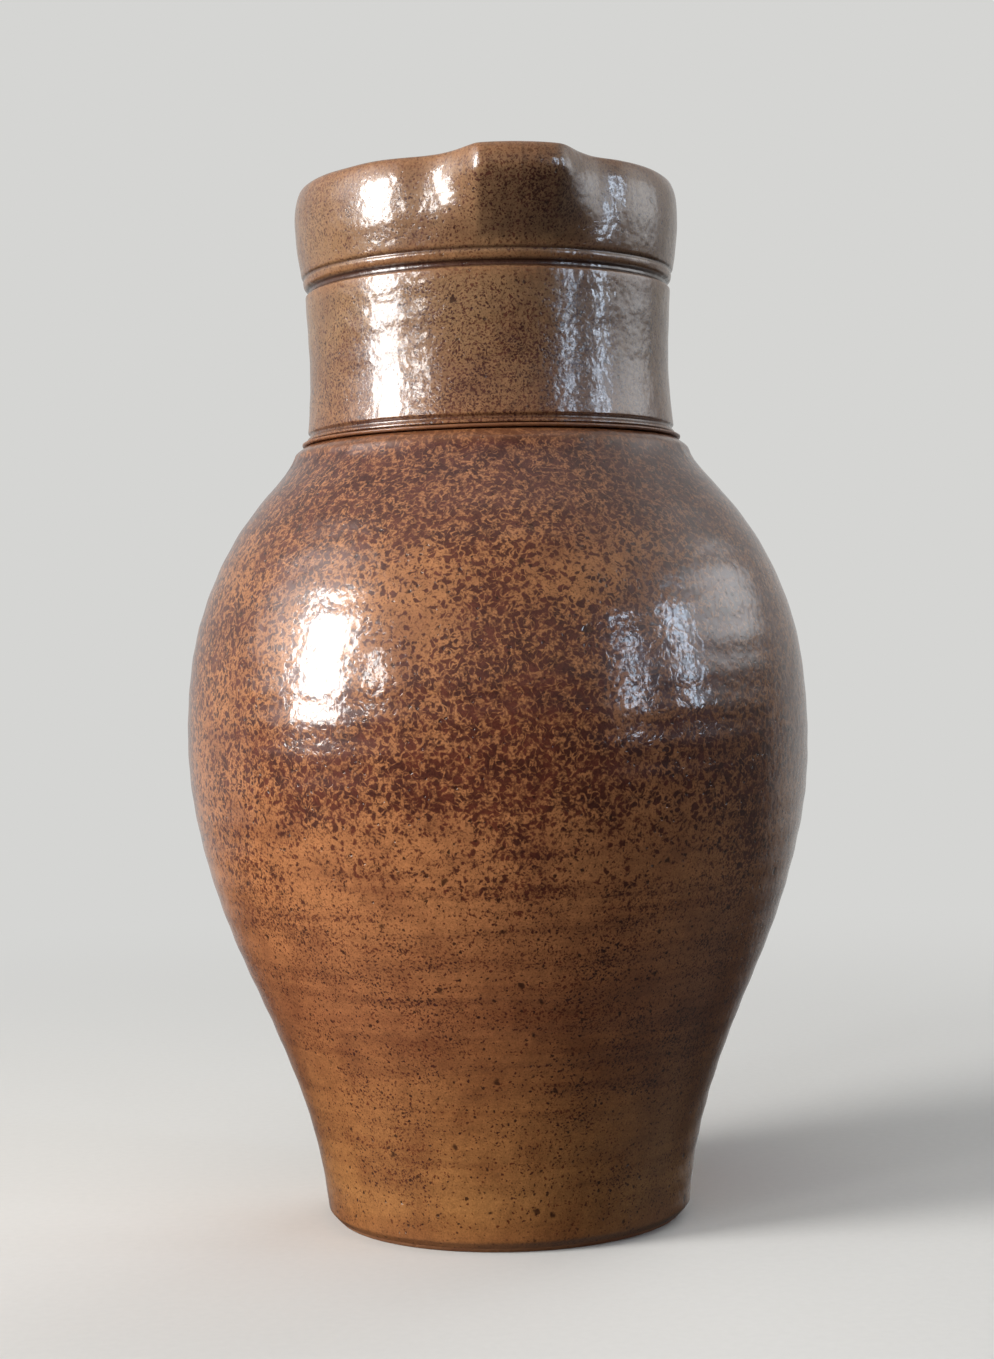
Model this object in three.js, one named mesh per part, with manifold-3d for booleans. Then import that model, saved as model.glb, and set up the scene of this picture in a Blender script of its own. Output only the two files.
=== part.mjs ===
// A salt-glazed stoneware pitcher in millimetres, +Z up. Its origin is the middle of the foot's underside.
// The pulled spout points along -Y, and the strap handle stands opposite it, on +Y.
// It is put together as a potter does it: a thrown body, a thrown neck set on a seat with slip,
// and a pulled handle luted to the neck and to the shoulder.
import * as THREE from "three";
import { mergeVertices } from "three/addons/utils/BufferGeometryUtils.js";
import Module from "manifold-3d";

// Body, from the foot up
const FOOT_RADIUS = 49.5;
const FOOT_BEVEL_HEIGHT = 3;
const FOOT_BEVEL_INSET = 2.8;
const FOOT_LEAN = 5.9; // degrees that the wall leans out as it leaves the foot
const FOOT_RUN = 52; // length over which the wall holds that lean
const FOOT_TO_BELLY = 129;
const BELLY_RADIUS = 84.3;
const BELLY_RUN_BELOW = 54; // upright pull of the curve under the widest ring
const BELLY_RUN_ABOVE = 50; // and above it
const BELLY_TO_LEDGE = 74.5;
const SHOULDER_PITCH = 69.8; // degrees from level where the shoulder meets the ledge
const SHOULDER_RUN = 9.4;
const BODY_WALL = 6.5;
const FLOOR_THICKNESS = 9;
const FLOOR_FILLET = 14;

// Ledge, seat and spigot at the top of the body
const LEDGE_WIDTH = 3.2; // from the seat's edge out to the shoulder
const LEDGE_EDGE_HEIGHT = 1.3;
const LEDGE_EDGE_TAPER = 0.5;
const LEDGE_SLOPE_HEIGHT = 2.2;
const SEAT_WIDTH = 4.2; // from the spigot out to the ledge
const SPIGOT_WALL = 2.8;
const SPIGOT_HEIGHT = 3;

// Slip that joins the pieces, and the gap that each piece keeps to it
const NECK_SLIP = 1;
const NECK_SLIP_BEAD = 0.7;
const HANDLE_SLIP = 1.2;
const HANDLE_SLIP_MARGIN = 2.4;
const JOINT_GAP = 0.3;

// Neck, from the seat up to the rim
const NECK_HEIGHT = 70;
const NECK_BASE_RADIUS = 50.2;
const NECK_LIP_WALL = 3.1; // the part of the neck's wall that stands outside the spigot
const BASE_LINE_RISE = 0.7; // from the neck's foot to the scored line above it
const BASE_LINE_WIDTH = 1.6;
const BASE_LINE_DEPTH = 0.7;
const WAIST_INSET = 1.4; // from the neck's base radius in to its waist
const WAIST_HEIGHT = 19;
const BAND_HEIGHT = 26.6; // from the groove's upper edge to the rim's crest
const BAND_INSET = 0.4; // in from the base radius at the groove's upper edge
const GROOVE_WIDTH = 2.5;
const GROOVE_DEPTH = 1.3;
const FINE_LINE_RISE = 1.6; // from the groove's upper edge
const FINE_LINE_WIDTH = 1.2;
const FINE_LINE_DEPTH = 0.45;
const RIM_FLARE = 1.9; // out from the base radius at the rim's widest ring
const RIM_SWELL_DROP = 8.7; // from the rim's crest down to its widest ring
const RIM_ROUNDING_OUT = 2.9;
const RIM_ROUNDING_IN = 2.6;
const RIM_ROUNDING_DROP_IN = 5;

// Spout, pulled out of the rim
const SPOUT_WIDTH = 21; // flat front
const SPOUT_FLANK = 7; // run of each side wall
const SPOUT_REACH = 9.8;
const SPOUT_DROP = 22.5; // from the rim's crest down to where the pull begins
const SPOUT_LIP = 6.5; // upright lip at its top
const SPOUT_LIFT = 0.5;
const PINCH_DEPTH = 1.1; // hollow that the fingers leave beside each flank
const PINCH_WIDTH = 9;

// Handle, a pulled strap
const HANDLE_TOP_HEIGHT = 28; // middle of the upper joint above the seat
const HANDLE_TOP_LIFT = 20; // degrees
const HANDLE_TOP_PULL = 70;
const HANDLE_TAIL_DROP = 46; // middle of the lower joint below the ledge
const HANDLE_TAIL_LIFT = 30; // degrees
const HANDLE_TAIL_PULL = 50;
const HANDLE_TOP_WIDTH = 34;
const HANDLE_TAIL_WIDTH = 26;
const HANDLE_TOP_THICKNESS = 12.5;
const HANDLE_TAIL_THICKNESS = 9.5;
const HANDLE_ROOT_FLARE = 6;
const HANDLE_ROOT_RUN = 16;
const HANDLE_ROOT_DEPTH = 14; // how far the uncut strap runs on into the walls
const CHANNEL_DEPTH = 1.7;
const CHANNEL_WIDTH = 13;

// Mesh counts
const BODY_COLUMNS = 52;
const NECK_COLUMNS = 60;
const FRONT_CROWDING = 0.45; // spacing of the neck's columns at the spout, against an even spacing
const WALL_STEPS = 10;
const LINING_STEPS = 6;
const FILLET_STEPS = 4;
const NECK_STEPS = 7;
const BAND_STEPS = 8;
const RIM_STEPS = 4;
const HANDLE_STEPS = 27;
const HANDLE_SIDES = 22;
const SLIP_STEPS = 8;
const MOUTH_STEPS = 3;
const STRAP_SQUARENESS = 2.7; // exponent of the strap's rounded section
const LINE_SIDE = 0.3; // share of a scored line's width that each of its sides takes
const LINE_MARGIN = 0.8; // no ring of the plain wall lies nearer to a scored line
const FILLET_MARGIN = 1; // nor one of the lining to the floor's fillet
const MERGE_WITHIN = 1e-3;

// Finishes
const BODY_FINISH = { color: "#8c5a3a", roughness: 0.25 };
const NECK_FINISH = { color: "#8f6a4c", roughness: 0.2 };
const HANDLE_FINISH = { color: "#8a5e40", roughness: 0.25 };
const SLIP_FINISH = { color: "#6e4630", roughness: 0.35 };

const wasm = await Module();
wasm.setup();

const radians = THREE.MathUtils.degToRad;
const at = (radius, height) => new THREE.Vector2(radius, height);

// Radius of an outline, listed upwards, at a height
function radiusAt(outline, height) {
  const above = outline.findIndex((p) => p.y >= height);
  if (above <= 0) return outline.at(above).x;
  const low = outline[above - 1];
  const high = outline[above];
  return THREE.MathUtils.mapLinear(height, low.y, high.y, low.x, high.x);
}

// Points of a wall's curve moved inwards, square to it, by the wall's thickness
function liningOf(curve, wall, steps) {
  return Array.from({ length: steps + 1 }, (_, i) => {
    const along = curve.getTangent(i / steps);
    return curve.getPoint(i / steps).add(at(-along.y, along.x).multiplyScalar(wall));
  });
}

// A profile turned about +Z, with its first column at the front, on -Y
function spin(profile, columns) {
  return new THREE.LatheGeometry(profile, columns).rotateX(Math.PI / 2);
}

function solidOf(geometry) {
  const bare = geometry.clone();
  bare.deleteAttribute("normal");
  bare.deleteAttribute("uv");
  const merged = mergeVertices(bare, MERGE_WITHIN);
  const vertProperties = new Float32Array(merged.getAttribute("position").array);
  const triVerts = new Uint32Array(merged.index.array);
  return new wasm.Manifold(new wasm.Mesh({ numProp: 3, vertProperties, triVerts }));
}

function geometryOf(solid) {
  const mesh = solid.getMesh();
  const geometry = new THREE.BufferGeometry();
  geometry.setAttribute("position", new THREE.BufferAttribute(mesh.vertProperties, 3));
  geometry.setIndex(new THREE.BufferAttribute(mesh.triVerts, 1));
  geometry.computeVertexNormals();
  return geometry;
}

// Levels that the pieces share
const bellyZ = FOOT_BEVEL_HEIGHT + FOOT_TO_BELLY;
const ledgeZ = bellyZ + BELLY_TO_LEDGE;
const seatZ = ledgeZ + LEDGE_EDGE_HEIGHT + LEDGE_SLOPE_HEIGHT;
const neckZ = seatZ + NECK_SLIP + 2 * JOINT_GAP;
const rimZ = seatZ + NECK_HEIGHT;
const grooveZ = rimZ - BAND_HEIGHT;
const neckWall = SPIGOT_WALL + JOINT_GAP + NECK_LIP_WALL;
const waistRadius = NECK_BASE_RADIUS - WAIST_INSET;
const bandRadius = NECK_BASE_RADIUS - BAND_INSET;
const rimRadius = NECK_BASE_RADIUS + RIM_FLARE;
const throatRadius = NECK_BASE_RADIUS - neckWall;
const spigotRadius = throatRadius + SPIGOT_WALL;
const spigotTop = seatZ + SPIGOT_HEIGHT;
const seatRadius = spigotRadius + SEAT_WIDTH;
const ledgeRadius = seatRadius + LEDGE_WIDTH;

// The body's wall is two curves that meet upright at the belly
const footLean = radians(FOOT_LEAN);
const shoulderPitch = radians(SHOULDER_PITCH);
const lowerWall = new THREE.CubicBezierCurve(
  at(FOOT_RADIUS, FOOT_BEVEL_HEIGHT),
  at(FOOT_RADIUS + FOOT_RUN * Math.sin(footLean), FOOT_BEVEL_HEIGHT + FOOT_RUN * Math.cos(footLean)),
  at(BELLY_RADIUS, bellyZ - BELLY_RUN_BELOW),
  at(BELLY_RADIUS, bellyZ),
);
const upperWall = new THREE.CubicBezierCurve(
  at(BELLY_RADIUS, bellyZ),
  at(BELLY_RADIUS, bellyZ + BELLY_RUN_ABOVE),
  at(
    ledgeRadius + SHOULDER_RUN * Math.cos(shoulderPitch),
    ledgeZ - SHOULDER_RUN * Math.sin(shoulderPitch),
  ),
  at(ledgeRadius, ledgeZ),
);
const bodyOutline = [
  ...lowerWall.getPoints(WALL_STEPS),
  ...upperWall.getPoints(WALL_STEPS).slice(1),
  at(ledgeRadius - LEDGE_EDGE_TAPER, ledgeZ + LEDGE_EDGE_HEIGHT),
  at(seatRadius, seatZ),
];

function bodyProfile() {
  const filletTop = FLOOR_THICKNESS + FLOOR_FILLET;
  const lowerLining = liningOf(lowerWall, BODY_WALL, LINING_STEPS);
  const upperLining = liningOf(upperWall, BODY_WALL, LINING_STEPS);
  const floorRadius = radiusAt(lowerLining, filletTop);
  const fillet = new THREE.QuadraticBezierCurve(
    at(floorRadius, filletTop),
    at(floorRadius, FLOOR_THICKNESS),
    at(floorRadius - FLOOR_FILLET, FLOOR_THICKNESS),
  );
  return [
    at(0, 0),
    at(FOOT_RADIUS - FOOT_BEVEL_INSET, 0),
    ...bodyOutline,
    at(spigotRadius, seatZ),
    at(spigotRadius, spigotTop),
    at(throatRadius, spigotTop),
    at(throatRadius, seatZ),
    ...upperLining.reverse(),
    ...lowerLining
      .slice(0, -1)
      .filter((p) => p.y > filletTop + FILLET_MARGIN)
      .reverse(),
    ...fillet.getPoints(FILLET_STEPS),
    at(0, FLOOR_THICKNESS),
  ];
}

// The neck's outside without its scored lines: a waisted collar, then the band that swells to the rim
const collar = new THREE.SplineCurve([
  at(NECK_BASE_RADIUS, neckZ),
  at(waistRadius, seatZ + WAIST_HEIGHT),
  at(bandRadius, grooveZ),
]);
const rimSwellZ = rimZ - RIM_SWELL_DROP;
const crestRadius = rimRadius - RIM_ROUNDING_OUT;
const band = new THREE.QuadraticBezierCurve(
  at(bandRadius, grooveZ),
  at(rimRadius, (grooveZ + rimSwellZ) / 2),
  at(rimRadius, rimSwellZ),
);
const neckOutline = [...collar.getPoints(NECK_STEPS), ...band.getPoints(BAND_STEPS).slice(1)];

// A scored line, from its lower edge: in to its bed, along that and out again
function scored(low, width, depth) {
  const high = low + width;
  const bed = radiusAt(neckOutline, (low + high) / 2) - depth;
  return [
    at(radiusAt(neckOutline, low), low),
    at(bed, low + LINE_SIDE * width),
    at(bed, high - LINE_SIDE * width),
    at(radiusAt(neckOutline, high), high),
  ];
}

function neckProfile() {
  const lines = [
    scored(neckZ + BASE_LINE_RISE, BASE_LINE_WIDTH, BASE_LINE_DEPTH),
    scored(grooveZ - GROOVE_WIDTH, GROOVE_WIDTH, GROOVE_DEPTH),
    scored(grooveZ + FINE_LINE_RISE, FINE_LINE_WIDTH, FINE_LINE_DEPTH),
  ];
  const [foot, ...wall] = neckOutline;
  const plain = wall.filter((p) =>
    lines.every((line) => p.y < line.at(0).y - LINE_MARGIN || p.y > line.at(-1).y + LINE_MARGIN),
  );
  const outside = [foot, ...[...lines.flat(), ...plain].sort((a, b) => a.y - b.y)];
  const rimOut = new THREE.EllipseCurve(
    crestRadius, rimSwellZ, RIM_ROUNDING_OUT, RIM_SWELL_DROP, 0, Math.PI / 2,
  );
  const rimIn = new THREE.EllipseCurve(
    crestRadius, rimZ - RIM_ROUNDING_DROP_IN, RIM_ROUNDING_IN, RIM_ROUNDING_DROP_IN, Math.PI / 2, Math.PI,
  );
  const spoutZ = rimZ - SPOUT_DROP;
  const mouth = new THREE.LineCurve(
    at(crestRadius - RIM_ROUNDING_IN, rimZ - RIM_ROUNDING_DROP_IN),
    at(radiusAt(neckOutline, spoutZ) - neckWall, spoutZ),
  );
  const rebateZ = spigotTop + JOINT_GAP;
  return [
    ...outside,
    ...rimOut.getPoints(RIM_STEPS).slice(1),
    ...rimIn.getPoints(RIM_STEPS).slice(1),
    ...mouth.getPoints(MOUTH_STEPS).slice(1),
    at(waistRadius - neckWall, seatZ + WAIST_HEIGHT),
    at(throatRadius, rebateZ),
    at(spigotRadius + JOINT_GAP, rebateZ),
    at(spigotRadius + JOINT_GAP, neckZ),
    at(NECK_BASE_RADIUS, neckZ),
  ];
}

// How far the pulled spout carries the wall outwards, at an angle from the front and at a height
function spoutPull(angle, height) {
  const { clamp } = THREE.MathUtils;
  const pastFront = Math.abs(angle) * rimRadius - SPOUT_WIDTH / 2;
  const front = 1 - clamp(pastFront / SPOUT_FLANK, 0, 1);
  const pinched = clamp((pastFront - SPOUT_FLANK / 2) / PINCH_WIDTH, 0, 1);
  const pinch = PINCH_DEPTH * Math.sin(Math.PI * pinched) ** 2;
  const rise = clamp((height - rimZ + SPOUT_DROP) / (SPOUT_DROP - SPOUT_LIP), 0, 1);
  return { out: (SPOUT_REACH * front - pinch) * rise, up: SPOUT_LIFT * front * rise };
}

// Crowds the spun neck's columns towards the front and pulls the spout out of them
function pullSpout(geometry) {
  const places = geometry.getAttribute("position");
  const place = new THREE.Vector3();
  for (let i = 0; i < places.count; i += 1) {
    place.fromBufferAttribute(places, i);
    const even = Math.atan2(place.x, -place.y);
    const angle = even * (FRONT_CROWDING + (1 - FRONT_CROWDING) * (even / Math.PI) ** 2);
    const pull = spoutPull(angle, place.z);
    const radius = Math.hypot(place.x, place.y) + pull.out;
    places.setXYZ(i, radius * Math.sin(angle), -radius * Math.cos(angle), place.z + pull.up);
  }
  return geometry;
}

// The ring of slip between the seat and the neck, with the bead that was squeezed out
function neckSlipProfile() {
  const low = seatZ + JOINT_GAP;
  const high = low + NECK_SLIP;
  const inner = spigotRadius + JOINT_GAP;
  const bead = new THREE.EllipseCurve(
    seatRadius, (low + high) / 2, NECK_SLIP_BEAD, NECK_SLIP / 2, -Math.PI / 2, Math.PI / 2,
  );
  return [at(inner, low), ...bead.getPoints(RIM_STEPS), at(inner, high), at(inner, low)];
}

// The handle's middle line, from the neck's wall to the shoulder's
const outline = [...bodyOutline, ...neckOutline];
const topZ = seatZ + HANDLE_TOP_HEIGHT;
const tailZ = ledgeZ - HANDLE_TAIL_DROP;
const topRoot = new THREE.Vector3(0, radiusAt(outline, topZ), topZ);
const tailRoot = new THREE.Vector3(0, radiusAt(outline, tailZ), tailZ);
const away = (lift) => new THREE.Vector3(0, Math.cos(radians(lift)), Math.sin(radians(lift)));
const arch = new THREE.CubicBezierCurve3(
  topRoot,
  topRoot.clone().addScaledVector(away(HANDLE_TOP_LIFT), HANDLE_TOP_PULL),
  tailRoot.clone().addScaledVector(away(HANDLE_TAIL_LIFT), HANDLE_TAIL_PULL),
  tailRoot,
);
const archLength = arch.getLength();

// A place on the middle line at a distance from the neck's wall, running straight on into either wall
function archAt(distance) {
  const share = THREE.MathUtils.clamp(distance / archLength, 0, 1);
  const along = arch.getTangentAt(share);
  const spot = arch.getPointAt(share).addScaledVector(along, distance - share * archLength);
  const across = new THREE.Vector3(1, 0, 0);
  return { spot, across, outward: across.clone().cross(along), share };
}

// Half-sections of the strap: a rounded oblong with a channel down its outer face, wider at the roots
function strapSection(distance, share, margin) {
  const toWall = Math.max(0, Math.min(distance, archLength - distance));
  const flare = HANDLE_ROOT_FLARE * Math.max(0, 1 - toWall / HANDLE_ROOT_RUN) ** 2;
  const { lerp } = THREE.MathUtils;
  const halfWidth = lerp(HANDLE_TOP_WIDTH, HANDLE_TAIL_WIDTH, share) / 2 + flare / 2 + margin;
  const halfThick = lerp(HANDLE_TOP_THICKNESS, HANDLE_TAIL_THICKNESS, share) / 2 + flare / 2 + margin;
  const rounded = (c) => Math.sign(c) * Math.abs(c) ** (2 / STRAP_SQUARENESS);
  return Array.from({ length: HANDLE_SIDES }, (_, i) => {
    const turn = (2 * Math.PI * i) / HANDLE_SIDES;
    const x = halfWidth * rounded(Math.cos(turn));
    const aside = (2 * x) / CHANNEL_WIDTH;
    const channel = turn < Math.PI ? CHANNEL_DEPTH * Math.exp(-aside * aside) : 0;
    return at(x, halfThick * rounded(Math.sin(turn)) - channel);
  });
}

// The strap lofted between two distances along its middle line, closed at both ends
function strap(from, to, steps, margin) {
  const points = [];
  const faces = [];
  for (let i = 0; i <= steps; i += 1) {
    const distance = THREE.MathUtils.lerp(from, to, i / steps);
    const { spot, across, outward, share } = archAt(distance);
    strapSection(distance, share, margin).forEach((p) =>
      points.push(spot.clone().addScaledVector(across, p.x).addScaledVector(outward, p.y)),
    );
  }
  const ends = [points.length, points.length + 1];
  points.push(archAt(from).spot, archAt(to).spot);
  for (let j = 0; j < HANDLE_SIDES; j += 1) {
    const k = (j + 1) % HANDLE_SIDES;
    for (let i = 0; i < steps; i += 1) {
      const ring = i * HANDLE_SIDES;
      const next = ring + HANDLE_SIDES;
      faces.push(ring + j, next + j, ring + k, next + k, ring + k, next + j);
    }
    const last = steps * HANDLE_SIDES;
    faces.push(ends[0], j, k, ends[1], last + k, last + j);
  }
  return new THREE.BufferGeometry().setFromPoints(points).setIndex(faces);
}

// The pitcher's outline filled to the axis and grown outwards, to cut what is set against the wall
function grown(by) {
  const wall = outline.map((p) => at(p.x + by, p.y));
  const profile = [at(0, wall.at(0).y), ...wall, at(0, wall.at(-1).y)];
  return solidOf(spin(profile, BODY_COLUMNS));
}

function handleSolid() {
  const reach = JOINT_GAP + HANDLE_SLIP + JOINT_GAP;
  const whole = solidOf(strap(-HANDLE_ROOT_DEPTH, archLength + HANDLE_ROOT_DEPTH, HANDLE_STEPS, 0));
  return whole.subtract(grown(reach));
}

// A pad of slip: the root's own outline, a margin wider, in the space between the wall and the strap
function handleSlipSolid(from, to) {
  const patch = solidOf(strap(from, to, SLIP_STEPS, HANDLE_SLIP_MARGIN));
  return patch.intersect(grown(JOINT_GAP + HANDLE_SLIP)).subtract(grown(JOINT_GAP));
}

const pitcher = new THREE.Group();
pitcher.name = "pitcher";

function addPiece(name, geometry, finish) {
  const piece = new THREE.Mesh(geometry, new THREE.MeshStandardMaterial({ ...finish, metalness: 0 }));
  piece.name = name;
  pitcher.add(piece);
}

const upperSlip = handleSlipSolid(-HANDLE_ROOT_DEPTH, HANDLE_ROOT_RUN);
const lowerSlip = handleSlipSolid(archLength - HANDLE_ROOT_RUN, archLength + HANDLE_ROOT_DEPTH);
addPiece("body", spin(bodyProfile(), BODY_COLUMNS), BODY_FINISH);
addPiece("neck", pullSpout(spin(neckProfile(), NECK_COLUMNS)), NECK_FINISH);
addPiece("neck_luting", spin(neckSlipProfile(), BODY_COLUMNS), SLIP_FINISH);
addPiece("handle", geometryOf(handleSolid()), HANDLE_FINISH);
addPiece("handle_upper_luting", geometryOf(upperSlip), SLIP_FINISH);
addPiece("handle_lower_luting", geometryOf(lowerSlip), SLIP_FINISH);

export default pitcher;
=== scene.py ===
# %% [markdown]
# # A salt-glazed pitcher
# A potter makes this pitcher from three thrown or pulled pieces: a round body, a neck set on the body's seat,
# and a strap handle. Slip, which is clay let down to a cream, joins them, and salt thrown into the kiln
# glazes the whole in one go. The solids already hold the sizes and the joints, so this lesson keeps each
# piece where its solid is and gives it the surface, the marks of the hand and the glaze.

# %% Load the solids
import math

import bpy
import numpy as np
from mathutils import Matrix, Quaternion, Vector, noise


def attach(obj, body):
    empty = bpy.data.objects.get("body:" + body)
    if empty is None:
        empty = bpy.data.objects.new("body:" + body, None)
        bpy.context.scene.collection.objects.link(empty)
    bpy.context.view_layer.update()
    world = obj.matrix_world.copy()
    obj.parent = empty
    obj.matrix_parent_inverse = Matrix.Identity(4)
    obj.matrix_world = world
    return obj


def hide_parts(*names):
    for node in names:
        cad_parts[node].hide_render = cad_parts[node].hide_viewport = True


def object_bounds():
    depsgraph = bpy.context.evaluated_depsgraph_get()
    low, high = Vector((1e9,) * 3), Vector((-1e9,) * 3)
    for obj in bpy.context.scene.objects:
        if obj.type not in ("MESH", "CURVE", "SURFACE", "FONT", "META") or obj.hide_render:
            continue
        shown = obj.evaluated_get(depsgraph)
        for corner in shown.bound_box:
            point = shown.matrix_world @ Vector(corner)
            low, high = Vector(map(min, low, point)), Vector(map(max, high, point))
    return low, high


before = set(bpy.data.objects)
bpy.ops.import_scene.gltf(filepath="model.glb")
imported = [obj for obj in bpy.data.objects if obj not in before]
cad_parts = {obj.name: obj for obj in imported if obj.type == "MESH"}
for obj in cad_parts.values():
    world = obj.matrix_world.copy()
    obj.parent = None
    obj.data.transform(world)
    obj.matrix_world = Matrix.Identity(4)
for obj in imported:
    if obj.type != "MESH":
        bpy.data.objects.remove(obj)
solid_low, solid_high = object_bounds()
MM = 0.001
print("solids:", ", ".join(sorted(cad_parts)))
print("their box in mm:", [round(side / MM, 1) for side in solid_high - solid_low])

# %% [markdown]
# ## The camera
# The picture was taken from about two thirds of a metre, a little above the belly's height, with the spout
# turned slightly to the right. A camera can be aimed by eye, but then its distance and lens are guesses.
# Here both are worked out from the picture's own perspective: the focal length is in pixels of the picture's
# height, and the small nod and roll put the rim, the belly and the foot where the picture has them.

# %% Place the camera
PICTURE_HEIGHT = 1359
FOCAL_PIXELS = 2350
SENSOR_LONG_SIDE = 36
CAMERA_AWAY = 0.645
CAMERA_HEIGHT = 0.1537
CAMERA_TURN = math.radians(-9.6)
CAMERA_NOD = math.radians(0.7)
CAMERA_ROLL = math.radians(-1.4)


def round_the_axis(turn, away, height):
    """A place by its turn from straight in front of the spout, its distance from the axis and its height."""
    return Vector((away * math.sin(turn), -away * math.cos(turn), height))


camera = bpy.data.objects.new("camera", bpy.data.cameras.new("camera"))
bpy.context.scene.collection.objects.link(camera)
camera.data.sensor_width = SENSOR_LONG_SIDE
camera.data.lens = FOCAL_PIXELS / PICTURE_HEIGHT * SENSOR_LONG_SIDE
camera.location = round_the_axis(CAMERA_TURN, CAMERA_AWAY, CAMERA_HEIGHT)
looking = round_the_axis(CAMERA_TURN, -1, -math.tan(CAMERA_NOD))
camera.rotation_mode = "QUATERNION"
camera.rotation_quaternion = looking.to_track_quat("-Z", "Y") @ Quaternion((0, 0, 1), CAMERA_ROLL)
bpy.context.scene.camera = camera
bpy.context.scene.view_settings.view_transform = "Standard"
print(f"camera: {camera.data.lens:.1f} mm lens at", [round(c, 3) for c in camera.location])

# %% [markdown]
# ## Small helpers for materials
# A material in Blender is a graph of nodes. Writing each node out takes many lines, so a few helpers keep
# the recipes short: they put a node down and fill its sockets, do sums, mix two colours, and turn a colour
# from a paint chart into the linear light that Blender works in.

# %% Node helpers
def fresh_nodes(owner):
    """The empty node graph of a material or a world."""
    owner.use_nodes = True
    owner.node_tree.nodes.clear()
    return owner.node_tree


def put(graph, kind, settings=None, **sockets):
    """Adds one node. A socket is given a value, or another node's output to be linked to it."""
    made = graph.nodes.new("ShaderNode" + kind)
    for name, value in (settings or {}).items():
        setattr(made, name, value)
    for name, value in sockets.items():
        fill(graph, made.inputs[name.replace("_", " ")], value)
    return made


def fill(graph, socket, value):
    if isinstance(value, bpy.types.NodeSocket):
        graph.links.new(value, socket)
    else:
        socket.default_value = value


def sums(graph, operation, *values, clamp=False):
    """One Math node, as an output socket."""
    made = put(graph, "Math", {"operation": operation, "use_clamp": clamp})
    for socket, value in zip(made.inputs, values):
        fill(graph, socket, value)
    return made.outputs[0]


def mixed(graph, share, first, second):
    """Two colours mixed by a share, as an output socket."""
    made = put(graph, "Mix", {"data_type": "RGBA"})
    for place, value in ((0, share), (6, first), (7, second)):
        fill(graph, made.inputs[place], value)
    return made.outputs[2]


def srgb(red, green, blue):
    """A colour as a paint chart gives it, 0 to 255, as the linear light that Blender works in."""
    shares = np.array([red, green, blue]) / 255
    linear = np.where(shares <= 0.04045, shares / 12.92, ((shares + 0.055) / 1.055) ** 2.4)
    return (*linear.tolist(), 1)


print("node helpers ready; mid grey 128 is", round(srgb(128, 128, 128)[0], 3), "in linear light")

# %% [markdown]
# ## Floor, backdrop and daylight
# The pitcher stands on a plain pale floor in soft daylight. A white room could be modelled, but it would
# throw light back from every side and flatten the belly. Here the world is a pale backdrop for the camera
# and a weak fill for the light. For reflections it is a room: pale walls to the sides and behind, dim in
# front of the pot and dark below it, so the glaze stays deep in the middle and hazy at its edges.

# %% Backdrop and room
BACKDROP = srgb(213, 213, 211)
FILL_LIGHT = 0.08
DIM_FRONT = 0.4
BRIGHT_SIDES = 2.2
SIDES_KEPT_BEHIND = 0.3
PALE_BEHIND = 0.75
DARK_BELOW = 0.07
DIM_CEILING = 0.35

# Where one part of the room gives way to the next: Y is -1 in front and 1 behind, Z is 1 overhead
FRONT_TO_SIDES = (-0.75, -0.1)
SIDES_TO_BACK = (0.1, 0.6)
FLOOR_TO_SIDES = (-0.05, 0.35)
SIDES_TO_CEILING = (0.45, 0.9)
BACK_WALL_BEGINS = (0.1, 0.55)
FLOOR_TO_BACK_WALL = (-0.35, -0.1)


def ramp(graph, value, span, low, high):
    """A smooth change from low to high while the value goes through the span."""
    made = put(graph, "MapRange", {"interpolation_type": "SMOOTHSTEP"}, Value=value,
               From_Min=span[0], From_Max=span[1], To_Min=low, To_Max=high)
    return made.outputs[0]


def product(graph, first, *others):
    """All the values multiplied, as an output socket."""
    for value in others:
        first = sums(graph, "MULTIPLY", first, value)
    return first


def make_world():
    world = bpy.data.worlds.new("daylight_room")
    graph = fresh_nodes(world)
    ray = put(graph, "LightPath").outputs
    heading = put(graph, "SeparateXYZ", Vector=put(graph, "TexCoord").outputs["Generated"]).outputs
    sides = product(graph,
                    ramp(graph, heading["Y"], FRONT_TO_SIDES, DIM_FRONT, BRIGHT_SIDES),
                    ramp(graph, heading["Y"], SIDES_TO_BACK, 1, SIDES_KEPT_BEHIND),
                    ramp(graph, heading["Z"], FLOOR_TO_SIDES, DARK_BELOW, 1),
                    ramp(graph, heading["Z"], SIDES_TO_CEILING, 1, DIM_CEILING))
    behind = product(graph,
                     ramp(graph, heading["Y"], BACK_WALL_BEGINS, 0, PALE_BEHIND),
                     ramp(graph, heading["Z"], FLOOR_TO_BACK_WALL, DARK_BELOW, 1))
    mirrored = product(graph, ray["Is Glossy Ray"], sums(graph, "MAXIMUM", sides, behind))
    shown = sums(graph, "MAXIMUM", ray["Is Camera Ray"], ray["Is Transmission Ray"])
    lit = product(graph, ray["Is Diffuse Ray"], FILL_LIGHT)
    strength = sums(graph, "MAXIMUM", sums(graph, "MAXIMUM", shown, mirrored), lit)
    backdrop = put(graph, "Background", Color=BACKDROP, Strength=strength)
    put(graph, "OutputWorld", Surface=backdrop.outputs[0])
    bpy.context.scene.world = world


make_world()
print("backdrop and room ready, fill light", FILL_LIGHT)

# %% [markdown]
# ## The floor
# A plain disc would end in a horizon that cuts across the belly. A curved sweep of paper hides it in a
# studio, but it also throws light up onto the pot. This floor keeps the shadow near the foot, melts into
# the backdrop farther out for the camera alone, and stays out of the glaze's reflections.

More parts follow.
